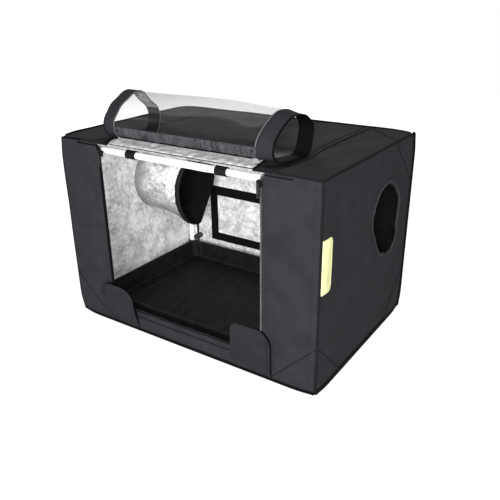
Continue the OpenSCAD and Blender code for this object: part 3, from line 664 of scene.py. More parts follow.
def on(face, a, b, h=0.0):
    """A point of the cover: place in the face's plane, and height over the cloth"""
    a, b, h = np.broadcast_arrays(*(np.asarray(v, float) for v in (a, b, h)))
    up = h + RISE[face](a, b)
    places = {"roof": (a, b, 400 + up), "floor": (a, b, -up), "right": (300 + up, a, b),
              "left": (-300 - up, a, b), "front": (a, -200 - up, b), "back": (a, 200 + up, b)}
    return soften(np.stack(places[face], -1))


OUTWARD = {"roof": (0, 0, 1), "floor": (0, 0, -1), "right": (1, 0, 0), "left": (-1, 0, 0),
           "front": (0, -1, 0), "back": (0, 1, 0)}
STITCHES, PATCH_LINES = Pile(), Pile()


def stitch(face, path, height=0.12, pitch=3.3, size=(2.3, 0.55, 0.4), pile=None):
    """A row of stitches along a path in a face's plane"""
    path = np.asarray(path, float)
    places, run = resample(path, pitch)
    points = on(face, places[:, 0], places[:, 1], height)
    ahead = on(face, places[:, 0] + run[:, 0] * 0.5, places[:, 1] + run[:, 1] * 0.5, height)
    add_blocks(STITCHES if pile is None else pile, points, ahead - points, OUTWARD[face], size)


def steps(low, high, pitch):
    return np.linspace(low, high, max(2, int(round((high - low) / pitch)) + 1))


CLOTH_T = 2.0
WIDE, DEEP, TALL = (-296.3, 296.3), (-196.3, 196.3), (3.7, 396.3)


def snap(v, low, high):
    """Grid lines moved onto a hole's two edges, and which cells between them lie in the hole"""
    v = np.unique(np.concatenate([v[(np.abs(v - low) > 2) & (np.abs(v - high) > 2)], [low, high]]))
    middle = (v[1:] + v[:-1]) / 2
    return v, (middle > low) & (middle < high)


def panel(name, face, a_range, b_range, pitch, hole=None):
    """A panel of the cover, charcoal outside and lined inside"""
    a, b = steps(*a_range, pitch), steps(*b_range, pitch)
    keep = None
    if hole:
        (a, in_a), (b, in_b) = (snap(v, *edges) for v, edges in ((a, hole[:2]), (b, hole[2:])))
        keep = ~(in_a[:, None] & in_b[None, :])
    grid_a, grid_b = lattice(a, b)
    uv = np.stack([grid_a, grid_b], -1) * MM
    obj = shell(name + "_cloth", on(face, grid_a, grid_b), on(face, grid_a, grid_b, -CLOTH_T),
                [CLOTH, SILVER, CLOTH], "tent", "cover_cloth", (name,), uv=uv, keep=keep)


# Half the width of the window opening, the top of its sill, and the back vent
OPENING_X, SILL_TOP = 192, 45
VENT = (-202, 202, 78, 180)
panel("roof_panel", "roof", WIDE, DEEP, 5.0)
panel("floor_panel", "floor", WIDE, DEEP, 16.0)
panel("back_wall", "back", WIDE, TALL, 6.0, VENT)
panel("front_left_panel", "front", (WIDE[0], -OPENING_X), TALL, 3.5)
panel("front_right_panel", "front", (OPENING_X, WIDE[1]), TALL, 3.5)
panel("front_sill", "front", (-OPENING_X, OPENING_X), (TALL[0], SILL_TOP), 3.5)


def perimeter(low_y, high_y, low_z, high_z, pitch):
    """Points round a rectangle, corners among them, without repeating the first"""
    corners = [(low_y, low_z), (high_y, low_z), (high_y, high_z), (low_y, high_z)]
    out = []
    for k in range(4):
        a, b = np.array(corners[k], float), np.array(corners[(k + 1) % 4], float)
        count = int(round(np.linalg.norm(b - a) / pitch))
        out += [a + (b - a) * i / count for i in range(count)]
    return np.array(out)


HOLE_R = 76.2


def side_wall(side):
    """A side wall with its round hole: rings of points from the hole to the edges"""
    rim = perimeter(*DEEP, *TALL, 6.5)
    centre = np.array(PORT)
    ring = centre + HOLE_R * unit(rim - centre)
    t = np.linspace(0, 1, 30)[:, None, None] ** 1.15
    places = ring + (rim - ring) * t
    y, z = places[..., 0], places[..., 1]
    uv = np.concatenate([places, places[:, :1]], 1) * MM
    obj = shell(side + "_wall_cloth", on(side, y, z), on(side, y, z, -CLOTH_T),
                [CLOTH, SILVER, CLOTH], "tent", "cover_cloth", (side + "_wall",), uv=uv, wrap=True)


side_wall("left")
side_wall("right")

# ---------------------------------------------------------------- piping, patches, seam tapes

PIPING_R = 2.5
PIPING_X, PIPING_Y, PIPING_Z = 297.5, 197.5, (2.5, 397.5)


def rounded_loop(z, radius=6.5):
    """The line of the piping round the roof or the floor"""
    x, y = PIPING_X, PIPING_Y
    out = []
    for cx, cy, start in ((x, y, 0), (-x, y, 90), (-x, -y, 180), (x, -y, 270)):
        mx, my = cx - math.copysign(radius, cx), cy - math.copysign(radius, cy)
        for k in range(5):
            turn = math.radians(start + 22.5 * k)
            out.append((mx + radius * math.cos(turn), my + radius * math.sin(turn), z))
    out.append(out[0])
    points, _ = resample(out, 5.0)
    return points


def build_piping():
    """Cord along all twelve edges, which stands proud along the far ones; it is near-black as
    painted shade along the far edges and the foot, and dark grey along the near ones
    """
    pile = Pile()
    wander = waves(11, 6, 60, 200)

    def put(path, radius, **options):
        points, faces = tube_parts(soften(path), radius, 10, **options)
        middle = np.array([points[face].mean(0) for face in faces])
        # near: the faces kept dark grey; the far edges and the foot get painted shade in near-black
        near = ((middle[:, 0] > 240) & (middle[:, 1] < 190)
                | (middle[:, 1] < -190) & (middle[:, 0] > -240))
        pile.put(points, faces, None, np.where(near & (middle[:, 2] > 9), 1, 0))

    for z in PIPING_Z:
        path = rounded_loop(z)
        sway = 0.35 * wander(path[:, 0] + path[:, 1] * 1.7, z)
        path[:, 2] += sway if z > 100 else np.abs(sway)
        put(path, PIPING_R, closed=True)
    back, _ = resample([(-297, -190), (-297, 190), (-290, 197), (290, 197), (297, 190)], 5.0)
    back = np.column_stack([back, 400.3 + 0.3 * wander(back[:, 0] + back[:, 1] * 1.7, 397.5)])
    put(back, PIPING_R)
    for x in (-PIPING_X, PIPING_X):
        for y in (-PIPING_Y, PIPING_Y):
            far = x > 0 and y > 0
            out, thick = (3.2, 1.6) if far else (0.5, 0.1)
            z = np.linspace(3, 399 if far else 397, 80)
            path = np.stack([np.full(80, x + math.copysign(out * 0.6, x)),
                             y + 0.3 * wander(z, x + y) + math.copysign(out, y), z], -1)
            put(path, PIPING_R + thick, up=(1, 0, 0))
    pile.make("edge_piping_cord", [BLACK, SEAM_CLOTH], "tent", "black_cloth", ("edge_piping",), 60)


build_piping()
# Stitches run round the panels, this far inside their edges
SEW_IN = 9.5
for face, half_a, mid in (("roof", 300, 0), ("back", 300, 200), ("right", 200, 200),
                          ("left", 200, 200)):
    half_a, low, high = half_a - SEW_IN, mid - 200 + SEW_IN, mid + 200 - SEW_IN
    stitch(face, [(-half_a, low), (half_a, low), (half_a, high), (-half_a, high), (-half_a, low)])
for s in (-1, 1):
    stitch("front", [(s * 282, 10), (s * 282, 390)])
    stitch("front", [(s * 201, 58), (s * 201, 380)])
stitch("front", [(-290, 9.5), (290, 9.5)])

PATCH_LEG, TAPE_T = 92, 0.6
# A black strip round the foot of every wall: painted shade where the cloth curves under to the
# floor
for face, half_a, high in (("front", 297, 7.6), ("back", 297, 7.6), ("right", 197, 12.5),
                           ("left", 197, 12.5)):
    grid = lattice(steps(-half_a, half_a, 5), np.linspace(0.6, high, 4))
    PATCH_LINES.sheet(on(face, *grid, 1.0), on(face, *grid, -0.3))


def patches():
    """Triangles of the same cloth sewn over the corners, with a bound and stitched long side"""
    pile = Pile()
    spots = []
    for side in ("right", "left"):
        spots += [(side, -195, 5, 1, 1), (side, 195, 5, -1, 1), (side, 195, 395, -1, -1)]
    for s in (-1, 1):
        spots += [("front", s * 295, 5, -s, 1), ("back", s * 295, 5, -s, 1),
                  ("back", s * 295, 395, -s, -1), ("roof", s * 295, 195, -s, -1)]
    for face, a0, b0, da, db in spots:
        leg = 88 if face == "roof" else PATCH_LEG
        t = np.linspace(0, 1, 22)
        u, v = lattice(t, t)
        a, b = a0 + da * leg * u * (1 - v), b0 + db * leg * u * v
        pile.sheet(on(face, a, b, TAPE_T + 0.02), on(face, a, b, -0.2),
                   uv=np.stack([a, b], -1) * MM)
        long_side = np.array([(a0 + da * leg, b0), (a0, b0 + db * leg)])
        line = long_side[0] + (long_side[1] - long_side[0]) * np.arange(25)[:, None] / 24
        PATCH_LINES.tube(on(face, line[:, 0], line[:, 1], TAPE_T * 0.6), 0.9, 6, 1,
                         up=OUTWARD[face])
        inward = np.array([-da, -db]) * 3.2 / math.sqrt(2)
        stitch(face, long_side + inward, TAPE_T + 0.1)
    obj = pile.make("corner_patch_cloth", [CLOTH], "tent", "cover_cloth",
                    ("corner_patches",), 60)


patches()


TAPE_X = (194.5, 206.5)


def seam_tapes():
    """Two crowned tapes from the front of the roof to its back, stitched along both sides"""
    pile = Pile()
    for s in (-1, 1):
        y = steps(-195.5, 195.5, 5)
        x = s * np.linspace(*TAPE_X, 5)
        grid_x, grid_y = lattice(x, y)
        crown = TAPE_T + 0.25 * np.sin(np.linspace(0, np.pi, 5))[:, None]
        pile.sheet(on("roof", grid_x, grid_y, crown), on("roof", grid_x, grid_y, -0.2),
                   uv=np.stack([grid_x, grid_y], -1) * MM)
        for edge in TAPE_X:
            PATCH_LINES.tube(on("roof", s * edge, y, 0.25), 1.5, 6, 1)
        for edge in (197.3, 203.7):
            stitch("roof", [(s * edge, -194), (s * edge, 194)], TAPE_T + 0.2)
    obj = pile.make("roof_seam_cloth", [CLOTH], "tent", "cover_cloth", ("roof_seam_tapes",), 60)


seam_tapes()

# ---------------------------------------------------------------- the rolled door

def facing(a, b):
    """Direction that the common tangent of two circles faces, going round the roll anticlockwise"""
    run = np.subtract(b[0], a[0])
    return math.atan2(run[1], run[0]) - math.acos((a[1] - b[1]) / np.hypot(*run))


BACK_CIRCLE, TOP_CIRCLE = ((-65, 430.4), 30), ((-104, 444), 43)
FRONT_CIRCLE = ((-157, 427), 25)
BOTTOM_FACE = facing(FRONT_CIRCLE, BACK_CIRCLE)
BACK_FACE = facing(BACK_CIRCLE, TOP_CIRCLE)
SLOPE_FACE = facing(TOP_CIRCLE, FRONT_CIRCLE) + 2 * math.pi


def arc(circle, start, end, count=40):
    turn = np.linspace(start, end, count)
    return np.stack([circle[0][0] + circle[1] * np.cos(turn),
                     circle[0][1] + circle[1] * np.sin(turn)], 1)


def roll_line():
    """The roll's outline from its back edge on, evenly spaced, and where its front edge begins"""
    pieces = [arc(BACK_CIRCLE, BOTTOM_FACE, BACK_FACE), arc(TOP_CIRCLE, BACK_FACE, SLOPE_FACE),
              arc(FRONT_CIRCLE, SLOPE_FACE, BOTTOM_FACE + 2 * math.pi)]
    line = np.concatenate(pieces + [pieces[0][:1]])
    distance = np.concatenate([[0], np.cumsum(np.linalg.norm(np.diff(line, axis=0), axis=1))])
    return line, distance, distance[len(pieces[0]) + len(pieces[1])]


ROLL, ROLL_S, FRONT_S = roll_line()
ROLL_L = ROLL_S[-1]


def front_s(degrees):
    """Distance round the roll at an angle of its front circle"""
    return FRONT_S + FRONT_CIRCLE[1] * (math.radians(degrees) - SLOPE_FACE)


BAND_S, TIP_S = (front_s(174), front_s(221)), front_s(234)
# How much wider the roll is towards its right end than its outline, by direction from its middle
MIDDLE = (-105.0, 432.0)
_wide = np.interp(np.arange(360), [0, 10, 25, 46, 62, 78, 104, 134, 157, 175, 190, 350],
                  [1.02, 1.06, 1.11, 1.09, 0.95, 0.84, 0.83, 0.96, 1.04, 0.97, 1, 1])
_wide = np.convolve(np.concatenate([_wide[-15:], _wide, _wide[:15]]),
                    np.hanning(31) / np.hanning(31).sum(), "valid")
FILM_WAVES, BAND_WAVES = waves(21, 8, 70, 190), waves(22, 9, 20, 70)


def sink(p):
    """The roll's own weight presses its underside into the slack roof"""
    y, z = p[..., 0], p[..., 1]
    return np.stack([y, z - 10.5 * smooth((428 - z) / 30) * smooth((y + 176) / 50)], -1)


ROLL_SUNK = sink(ROLL)
_even = np.linspace(0, ROLL_L, 721)
_y, _z = np.interp(_even, ROLL_S, ROLL_SUNK[:, 0]), np.interp(_even, ROLL_S, ROLL_SUNK[:, 1])
_ny = (np.roll(_z[:-1], -1) - np.roll(_z[:-1], 1))
_nz = -(np.roll(_y[:-1], -1) - np.roll(_y[:-1], 1))
for _ in range(12):
    _ny = (_ny + (np.roll(_ny, 1) + np.roll(_ny, -1)) / 2) / 2
    _nz = (_nz + (np.roll(_nz, 1) + np.roll(_nz, -1)) / 2) / 2
_size = np.hypot(_ny, _nz)
_ny, _nz = np.append(_ny / _size, _ny[0] / _size[0]), np.append(_nz / _size, _nz[0] / _size[0])


def roll_at(s, x, out=0.0):
    """A point of the roll: distance round it, place across it, and height over its outline.
    The right end is drawn in, the left end's back comes forward, and the slope swells."""
    s, x, out = np.broadcast_arrays(*(np.asarray(v, float) for v in (s, x, out)))
    turn = s % ROLL_L
    y, z = np.interp(turn, _even, _y), np.interp(turn, _even, _z)
    round_s = turn * 2 * np.pi / ROLL_L
    soft = 0.9 * FILM_WAVES(60 * np.cos(round_s) + x * 0.5, 60 * np.sin(round_s))
    soft = soft * smooth(np.abs(turn - FRONT_S - 30) / 45)
    slope = 4.5 * np.exp(-((turn - FRONT_S + 24) / 20) ** 2) * smooth((130 - x) / 120)
    out = out + soft + slope
    y, z = y + np.interp(turn, _even, _ny) * out, z + np.interp(turn, _even, _nz) * out
    away = np.degrees(np.arctan2(z - MIDDLE[1], y - MIDDLE[0])) % 360
    wide = 1 + (np.interp(away, np.arange(360), _wide, period=360) - 1) * smooth((x - 40) / 110)
    y, z = MIDDLE[0] + (y - MIDDLE[0]) * wide, MIDDLE[1] + (z - MIDDLE[1]) * wide
    end = smooth((x - 150) / 42)
    z = 400 + (z - 400) * (1 - 0.09 * end)
    y = y + (8 * end + 4 * smooth((-150 - x) / 42)) * smooth((-110 - y) / 60)
    y = y - 14 * smooth((y + 112) / 60) * smooth((150 - x) / 300)
    return np.stack([x, y, z], -1)


def roll_out(s):
    """The roll's outward direction"""
    turn = s % ROLL_L
    return np.stack([0 * turn, np.interp(turn, _even, _ny), np.interp(turn, _even, _nz)], -1)


def roll_sheet(name, s, x, high, low, materials, slot, replaces, paint=None):
    """A sheet all round the roll, between two heights over its outline"""
    grid_x, grid_s = lattice(x, s)
    return shell(name, roll_at(grid_s, grid_x, high), roll_at(grid_s, grid_x, low), materials,
                 "window_door", slot, replaces, wrap=True, paint=paint)


ROUND = np.linspace(0, ROLL_L, 150, endpoint=False)
film = roll_sheet("door_film", ROUND, steps(-163, 163, 7), -0.9, -1.3, [FILM, FILM, FILM],
                  "clear_film", ("window_film",))


def band_paint(side):
    """The left band shows its silver lining inside only at the back of the roll, above its shadow
    line; below that line its inside is black, a painted shadow
    """
    def paint(centres, numbers):
        numbers = numbers.copy()
        lit = (centres[:, 2] > 446) & (centres[:, 1] > -120) & (numbers == 1)
        if side < 0:
            numbers[lit] = 3
        return numbers
    return paint


ROLL_STITCHES = Pile()
DOOR_BAND_X = (161, 190)


def roll_stitch(s, x, height, index=0):
    """A row of stitches along a line on the roll"""
    s, x = np.broadcast_arrays(np.asarray(s, float), np.asarray(x, float))
    path, _ = resample(np.stack([s, x], 1), 3.3)
    points = roll_at(path[:, 0], path[:, 1], height)
    run = np.gradient(points, axis=0)
    add_blocks(ROLL_STITCHES, points, run, roll_out(path[:, 0]), (2.4, 0.6, 0.4), index=index)


for side, label in ((-1, "left"), (1, "right")):
    x = side * steps(*DOOR_BAND_X, 4)
    ends = np.interp(np.abs(x), [161, 163, 188, 190], [-0.5, 0, 0, -0.3])[:, None]
    obj = roll_sheet(f"door_band_{label}", ROUND, x, ends, -1.9, [CLOTH, BLACK, BLACK, SILVER],
                     "cover_cloth", ("door_side_bands",), band_paint(side))
    for edge in (164.5, 186.5):
        roll_stitch(np.linspace(0, ROLL_L, 60), side * edge, 0.15)
    weld = Pile()
    weld.tube(roll_at(ROUND, side * 160.9, -0.5), 0.9, 6, closed=True, up=(1, 0, 0))
    weld.make(f"door_weld_{label}", [PALE_THREAD], "window_door", "cover_cloth")


def door_zip():
    """The door's half of the zip runs round its side edges and along its bottom band"""
    pile = Pile()
    for side in (-1, 1):
        x = side * np.linspace(189.5, 191.6, 3)
        grid_x, grid_s = lattice(x, ROUND)
        pile.sheet(roll_at(grid_s, grid_x, -0.2), roll_at(grid_s, grid_x, -1.4), wrap=True)
        s = np.arange(0, ROLL_L - 1, 2.8)
        add_blocks(pile, roll_at(s, side * 192, -0.9), (side, 0, 0), roll_out(s),
                   (2.2, 1.25, 1.9), 0.75)
    grid_x, grid_s = lattice(steps(-152, 152, 4), BAND_S[1] + np.array([-0.5, 1.3, 3.0]))
    pile.sheet(roll_at(grid_s, grid_x, 0.9), roll_at(grid_s, grid_x, -0.2))
    x = np.arange(-151, 152, 2.8)
    centres = roll_at(BAND_S[1] + 1.8, x, 1.4)
    ahead = roll_at(BAND_S[1] + 3.0, x, 1.4)
    add_blocks(pile, centres, ahead - centres, roll_out(BAND_S[1] + 0 * x), (2.4, 1.4, 1.0), 0.75)
    pile.make("door_zip_tape", [BLACK], "window_door", "zip_plastic", ("door_zip",))


door_zip()


def bottom_band():
    """The gathered cloth band along the door's bottom, with a row of stitches at each side"""
    x = steps(-162, 162, 2.6)
    s = np.linspace(BAND_S[0], BAND_S[1], 22)
    grid_x, grid_s = lattice(x, s)
    t = (grid_s - BAND_S[0]) / (BAND_S[1] - BAND_S[0])
    hold = smooth(t / 0.14) * smooth((1 - t) / 0.1) * smooth((162 - np.abs(grid_x)) / 8)
    wrinkle = (1.25 * BAND_WAVES(grid_x, t * 26)
               + 0.6 * np.sin(grid_x / 3.1 + 2 * BAND_WAVES(grid_x, 5)))
    hem = 0.55 * np.exp(-((t - 0.05) / 0.05) ** 2)
    outer = roll_at(grid_s, grid_x, 0.35 + hold * (0.9 + wrinkle) + hem)
    inner = roll_at(grid_s, grid_x, -0.55 + 0.35 * hold)
    obj = shell("door_hem_cloth", outer, inner, [HEM, CLOTH, CLOTH], "window_door",
                "cover_cloth", ("door_bottom_band",))
    line = np.linspace(-160, 160, 120)
    roll_stitch(BAND_S[0] + 3.4, line, 0.95, 1)
    roll_stitch(BAND_S[1] - 3.0, line, 0.6)


bottom_band()

HINGE = np.array([-200.1, 400.1])


def hinge_strip():
    """The crinkled silver strip from the tent's seam to the roll, and the cloth tabs at its ends"""
    def strip(x, t, out, lift):
        """A point of a strip from the hinge to the roll, lifted off its straight line"""
        tip = roll_at(TIP_S, x, out)[..., 1:]
        run = tip - HINGE
        normal = unit(np.stack([-run[..., 1], run[..., 0]], -1))
        place = HINGE + run * t[..., None] + normal * lift[..., None]
        return np.concatenate([x[..., None], place], -1)

    crinkle, fine = waves(31, 10, 9, 30), waves(32, 10, 4, 9)
    t = np.linspace(0, 1, 15)
    grid_u, grid_t = lattice(np.linspace(0, 1, 170), t)
    left = -163 + 5 * (1 - np.sqrt(np.clip(1 - (2 * grid_t - 1) ** 2, 0, 1)))
    x = left + (170 - left) * grid_u
    crumpled = 0.9 + 0.75 * crinkle(x, grid_t * 30) + 0.3 * fine(x, grid_t * 30)
    lift = 0.5 + smooth(grid_t / 0.12) * crumpled
    obj = shell("door_hinge_silver", strip(x, grid_t, 0.6, lift),
                strip(x, grid_t, 0.2, 0 * lift - 0.1), [MYLAR, BLACK, MYLAR], "window_door",
                "silver_lining", ("door_hinge_band",), sharp=80)
    tabs = Pile()
    for low, high in ((-175, -150), (150, 175)):
        grid_x, grid_t = lattice(steps(low, high, 3), t)
        tabs.sheet(strip(grid_x, grid_t, -0.3, 0 * grid_t + 0.25),
                   strip(grid_x, grid_t, -0.9, 0 * grid_t - 0.6))
    tabs.make("door_hinge_tabs", [BLACK], "window_door", "cover_cloth", ("door_side_bands",))


def edge_silver():
    """The strip's sewn lower edge, which wraps the front of the roof under the hinge line"""
    x = steps(-162, 169, 3)
    grid_x, z = lattice(x, np.array([395.2, 396.2, 397.3, 398.4]))
    wrinkle = 0.2 * waves(33, 9, 8, 30)(grid_x, z)
    front = np.stack([grid_x, -200.5 - np.abs(wrinkle), z], -1)
    shell("front_edge_silver", front, front + [0, 0.4, 0], [EDGE_SILVER, BLACK, EDGE_SILVER],
          "tent", "silver_lining")


hinge_strip()
edge_silver()
ROLL_STITCHES.make("door_stitching", [THREAD, PALE_THREAD], "window_door", "cover_cloth")

# ---------------------------------------------------------------- the front zip, flaps and tab

ZIP_X, ZIP_Z, ZIP_BEND, ZIP_TURN = 186.0, 49.0, 30.0, 8.0
TURN_Z, TAIL_X = 384.5, 246.0


def zip_line(out):
    """Half of a line beside the zip's teeth: from the middle of the sill to the upper tail's end"""
    tight = min(out, ZIP_TURN - 0.4)
    z = np.linspace(ZIP_Z + ZIP_BEND, TURN_Z, 60)
    points = [(x, ZIP_Z - out) for x in np.linspace(0, ZIP_X - ZIP_BEND, 32)]
    turn = np.radians(np.linspace(-86, -4, 12))
    points += list(zip(ZIP_X - ZIP_BEND + (ZIP_BEND + out) * np.cos(turn),
                       ZIP_Z + ZIP_BEND + (ZIP_BEND + out) * np.sin(turn)))
    points += list(zip(ZIP_X + out - (out - tight) * smooth((z - 366) / 18), z))
    turn = np.radians(np.linspace(172, 92, 10))
    points += list(zip(ZIP_X + ZIP_TURN + (ZIP_TURN - tight) * np.cos(turn),
                       TURN_Z + (ZIP_TURN - tight) * np.sin(turn)))
    points += [(x, TURN_Z + ZIP_TURN - tight) for x in np.linspace(ZIP_X + ZIP_TURN, TAIL_X, 14)]
    return np.array(points)


def front_zip():
    """The tent's half of the zip: its tape, painted black as shade beside the left column, and its
    teeth, pale as a painted highlight up the right column and black as painted shade elsewhere
    """
    pile = Pile()
    lines = np.stack([zip_line(offset) for offset in (-2.0, 0.0, 2.2, 4.2, 6.4)])
    for side in (-1, 1):
        x, z = side * lines[..., 0], lines[..., 1]
        raise_by = np.array([0.7, 0.8, 0.8, 0.75, 0.5])[:, None]
        points, faces, uvs, _ = shell_parts(on("front", x, z, raise_by),
                                            on("front", x, z, 0.02))
        middle = points[faces].mean(1)
        # Painted shade: the tape beside the left column is black
        painted_shade = (middle[:, 0] < 0) & (middle[:, 0] > -ZIP_X - ZIP_TURN) & (middle[:, 2] > 60)
        pile.put(points, faces.tolist(), uvs, np.where(painted_shade, 2, 0).tolist())
        places, run = resample(lines[1], 2.8)
        shift = np.where(np.arange(len(places)) % 2 == 0, -0.45, 0.45)
        side_way = unit(np.stack([run[:, 1], -run[:, 0]], 1))
        places = places + side_way * shift[:, None]
        centres = on("front", side * places[:, 0], places[:, 1], 1.7)
        along = np.stack([side * side_way[:, 0], 0 * shift, side_way[:, 1]], -1)
        # Painted light: teeth up the right column are pale as a highlight, the others black as
        # shade
        for glinting in (False, True):
            use = ((places[:, 1] > 70) & (side > 0)
                   & (np.abs(places[:, 0]) < ZIP_X + ZIP_TURN)) == glinting
            add_blocks(pile, centres[use], along[use], (0, -1, 0), (2.5, 1.6, 2.0), 0.7,
                       1 if glinting else 2)
    pile.make("front_zip_tape", [CLOTH, GLINT_TEETH, BLACK], "tent", "zip_plastic", ("front_zip",))


front_zip()
stitch("front", [(-150, 31), (150, 31)])
stitch("front", [(-150, 27.5), (150, 27.5)])
PATCH_LINES.tube(on("front", np.linspace(-152, 152, 60), 34.2, 0.3), 1.3, 8, 1, up=(0, -1, 0))

FLAP_Z = 12, 102


def corner_flap(side, lean, inner_r, outer_r, seed):
    """A flap over a lower bend of the zip: rounded upper corners, sewn along its foot"""
    name = "left_corner_flap" if side < 0 else "right_corner_flap"
    body = "left_flap" if side < 0 else "right_flap"
    inner_x, outer_x = 120.0, 207.0
    ripple = waves(seed, 8, 30, 90)

    def at(x, z, over=0.0):
        """A point of the flap's front: it stands off the sill, more towards its top"""
        x, z = np.broadcast_arrays(np.asarray(x, float), np.asarray(z, float))
        t = np.clip((z - FLAP_Z[0]) / (FLAP_Z[1] - FLAP_Z[0]), 0, 1)
        out = 4.6 + lean * t * (2 - t) + 0.5 * t * ripple(x, z) + over
        return np.stack([side * x, -200 - out, z], -1)

    def drop(x):
        """How far the upper edge lies below the flap's top"""
        near = np.clip(inner_x + inner_r - x, 0, None)
        far = np.clip(x - outer_x + outer_r, 0, None)
        return (inner_r - np.sqrt(np.clip(inner_r ** 2 - near ** 2, 0, None))
                + outer_r - np.sqrt(np.clip(outer_r ** 2 - far ** 2, 0, None)))

    turn = np.linspace(0, np.pi, 40)
    x = (inner_x + outer_x) / 2 - (outer_x - inner_x) / 2 * np.cos(turn)
    grid_x, v = lattice(x, np.linspace(0, 1, 30))
    grid_z = FLAP_Z[0] + (FLAP_Z[1] - drop(grid_x) - FLAP_Z[0]) * v
    obj = shell(name + "_cloth", at(grid_x, grid_z), at(grid_x, grid_z, -1.3),
                [FLAP_CLOTH, BLACK, BLACK], body, "cover_cloth", (name,), sharp=60)

    def outline(inset):
        path = [(inner_x + inset, FLAP_Z[0] + 2)]
        for cx, r, start in ((inner_x + inner_r, inner_r, 180), (outer_x - outer_r, outer_r, 90)):
            for k in range(11):
                angle = math.radians(start - 9 * k)
                path.append((cx + (r - inset) * math.cos(angle),
                             FLAP_Z[1] - r + (r - inset) * math.sin(angle)))
        path.append((outer_x - inset, FLAP_Z[0] + 2))
        return np.array(path)

    edge, _ = resample(outline(0.3), 2.5)
    trim = Pile()
    trim.tube(at(edge[:, 0], edge[:, 1], -0.7), 1.0, up=(0, -1, 0))
    foot = np.linspace(inner_x, outer_x, 24)
    trim.tube(at(foot, FLAP_Z[0], -0.7), 1.3, up=(0, -1, 0))
    # A painted shadow in the gap beside the flap's outer curve: black on the right flap, dark grey
    # on the left
    shadow_gap = outline(-1.1)
    shadow_gap = shadow_gap[shadow_gap[:, 0] > outer_x - outer_r * 0.75]
    trim.tube(at(shadow_gap[:, 0], shadow_gap[:, 1], -1.2), 1.5, index=1 if side > 0 else 2, up=(0, -1, 0))
    hem = outline(6.0)
    hem = hem[hem[:, 0] > outer_x - outer_r * 0.5]
    trim.tube(at(hem[:, 0], hem[:, 1], -0.25), 0.8, 6, 2, up=(0, -1, 0))
    trim.make(name + "_binding", [FLAP_CLOTH, BLACK, SEAM_CLOTH], body, "cover_cloth")
    thread = Pile()
    for inset in (4.0, 9.0):
        places, _ = resample(outline(inset), 3.2)
        centres = at(places[:, 0], places[:, 1], 0.1)
        add_blocks(thread, centres, np.gradient(centres, axis=0), (0, -1, 0), (2.3, 0.6, 0.4))
    row = np.linspace(inner_x + 3, outer_x - 3, 27)
    add_blocks(thread, at(row, FLAP_Z[0] + 4.5, 0.15), (1, 0, 0), (0, -1, 0), (2.3, 0.6, 0.4))
    thread.make(name + "_stitching", [THREAD], body, "cover_cloth")


corner_flap(-1, 14.5, 30.0, 24.0, 41)
corner_flap(1, 2.0, 16.0, 30.0, 42)


TAB_Y, TAB_Z, TAB_ROUND, TAB_T = (-198.3, -165.5), (203, 300), 10.0, 1.5


def edge_tab():
    """A plain pull tab of doubled lime webbing, sewn into the front right edge"""
    long = TAB_Y[1] - TAB_Y[0]
    ripple = waves(51, 6, 20, 60)
    middle = TAB_Y[1] - TAB_ROUND

    def swell(y, z):
        """How far the tab stands off the wall"""
        t = (y - TAB_Y[0]) / long
        return 0.7 + 1.3 * np.sin(np.pi * np.clip(t * 1.1, 0, 1)) + 0.35 * ripple(y, z) * t

    y = TAB_Y[0] + long * np.linspace(0, 1, 16)
    depth = np.clip(TAB_ROUND ** 2 - (y - middle) ** 2, 0, None)
    drop = np.where(y > middle, TAB_ROUND - np.sqrt(depth), 0)
    v = np.linspace(0, 1, 48)
    grid_y = y[:, None] + 0 * v
    grid_z = (TAB_Z[0] + drop)[:, None] + (TAB_Z[1] - TAB_Z[0] - 2 * drop)[:, None] * v
    lift = swell(grid_y, grid_z)
    outer = np.stack([300 + lift + TAB_T, grid_y, grid_z], -1)
    inner = np.stack([300 + lift * 0.9, grid_y, grid_z], -1)
    obj = shell("edge_tab_webbing", outer, inner, [LIME, LIME, LIME], "tab", "lime_cloth",
                ("edge_tab",), sharp=60)
    path = [(-196.5, 203.0), (middle, 203.0)]
    for start, z in ((-90, 200 + TAB_ROUND), (0, 300 - TAB_ROUND)):
        for k in range(8):
            turn = math.radians(start + 90 * k / 7)
            path.append((middle + (TAB_ROUND - 3) * math.cos(turn),
                         z + (TAB_ROUND - 3) * math.sin(turn)))
    path.append((-196.5, 297.0))
    y, z = resample(path, 3.4)[0].T
    centres = np.stack([300 + swell(y, z) + TAB_T + 0.1, y, z], -1)
    thread = Pile()
    add_blocks(thread, centres, np.gradient(centres, axis=0), (1, 0, 0), (2.4, 0.6, 0.4))
    thread.make("edge_tab_stitching", [LIME], "tab", "lime_cloth")


edge_tab()

# ---------------------------------------------------------------- ports, sleeves

RING_R = 85.2


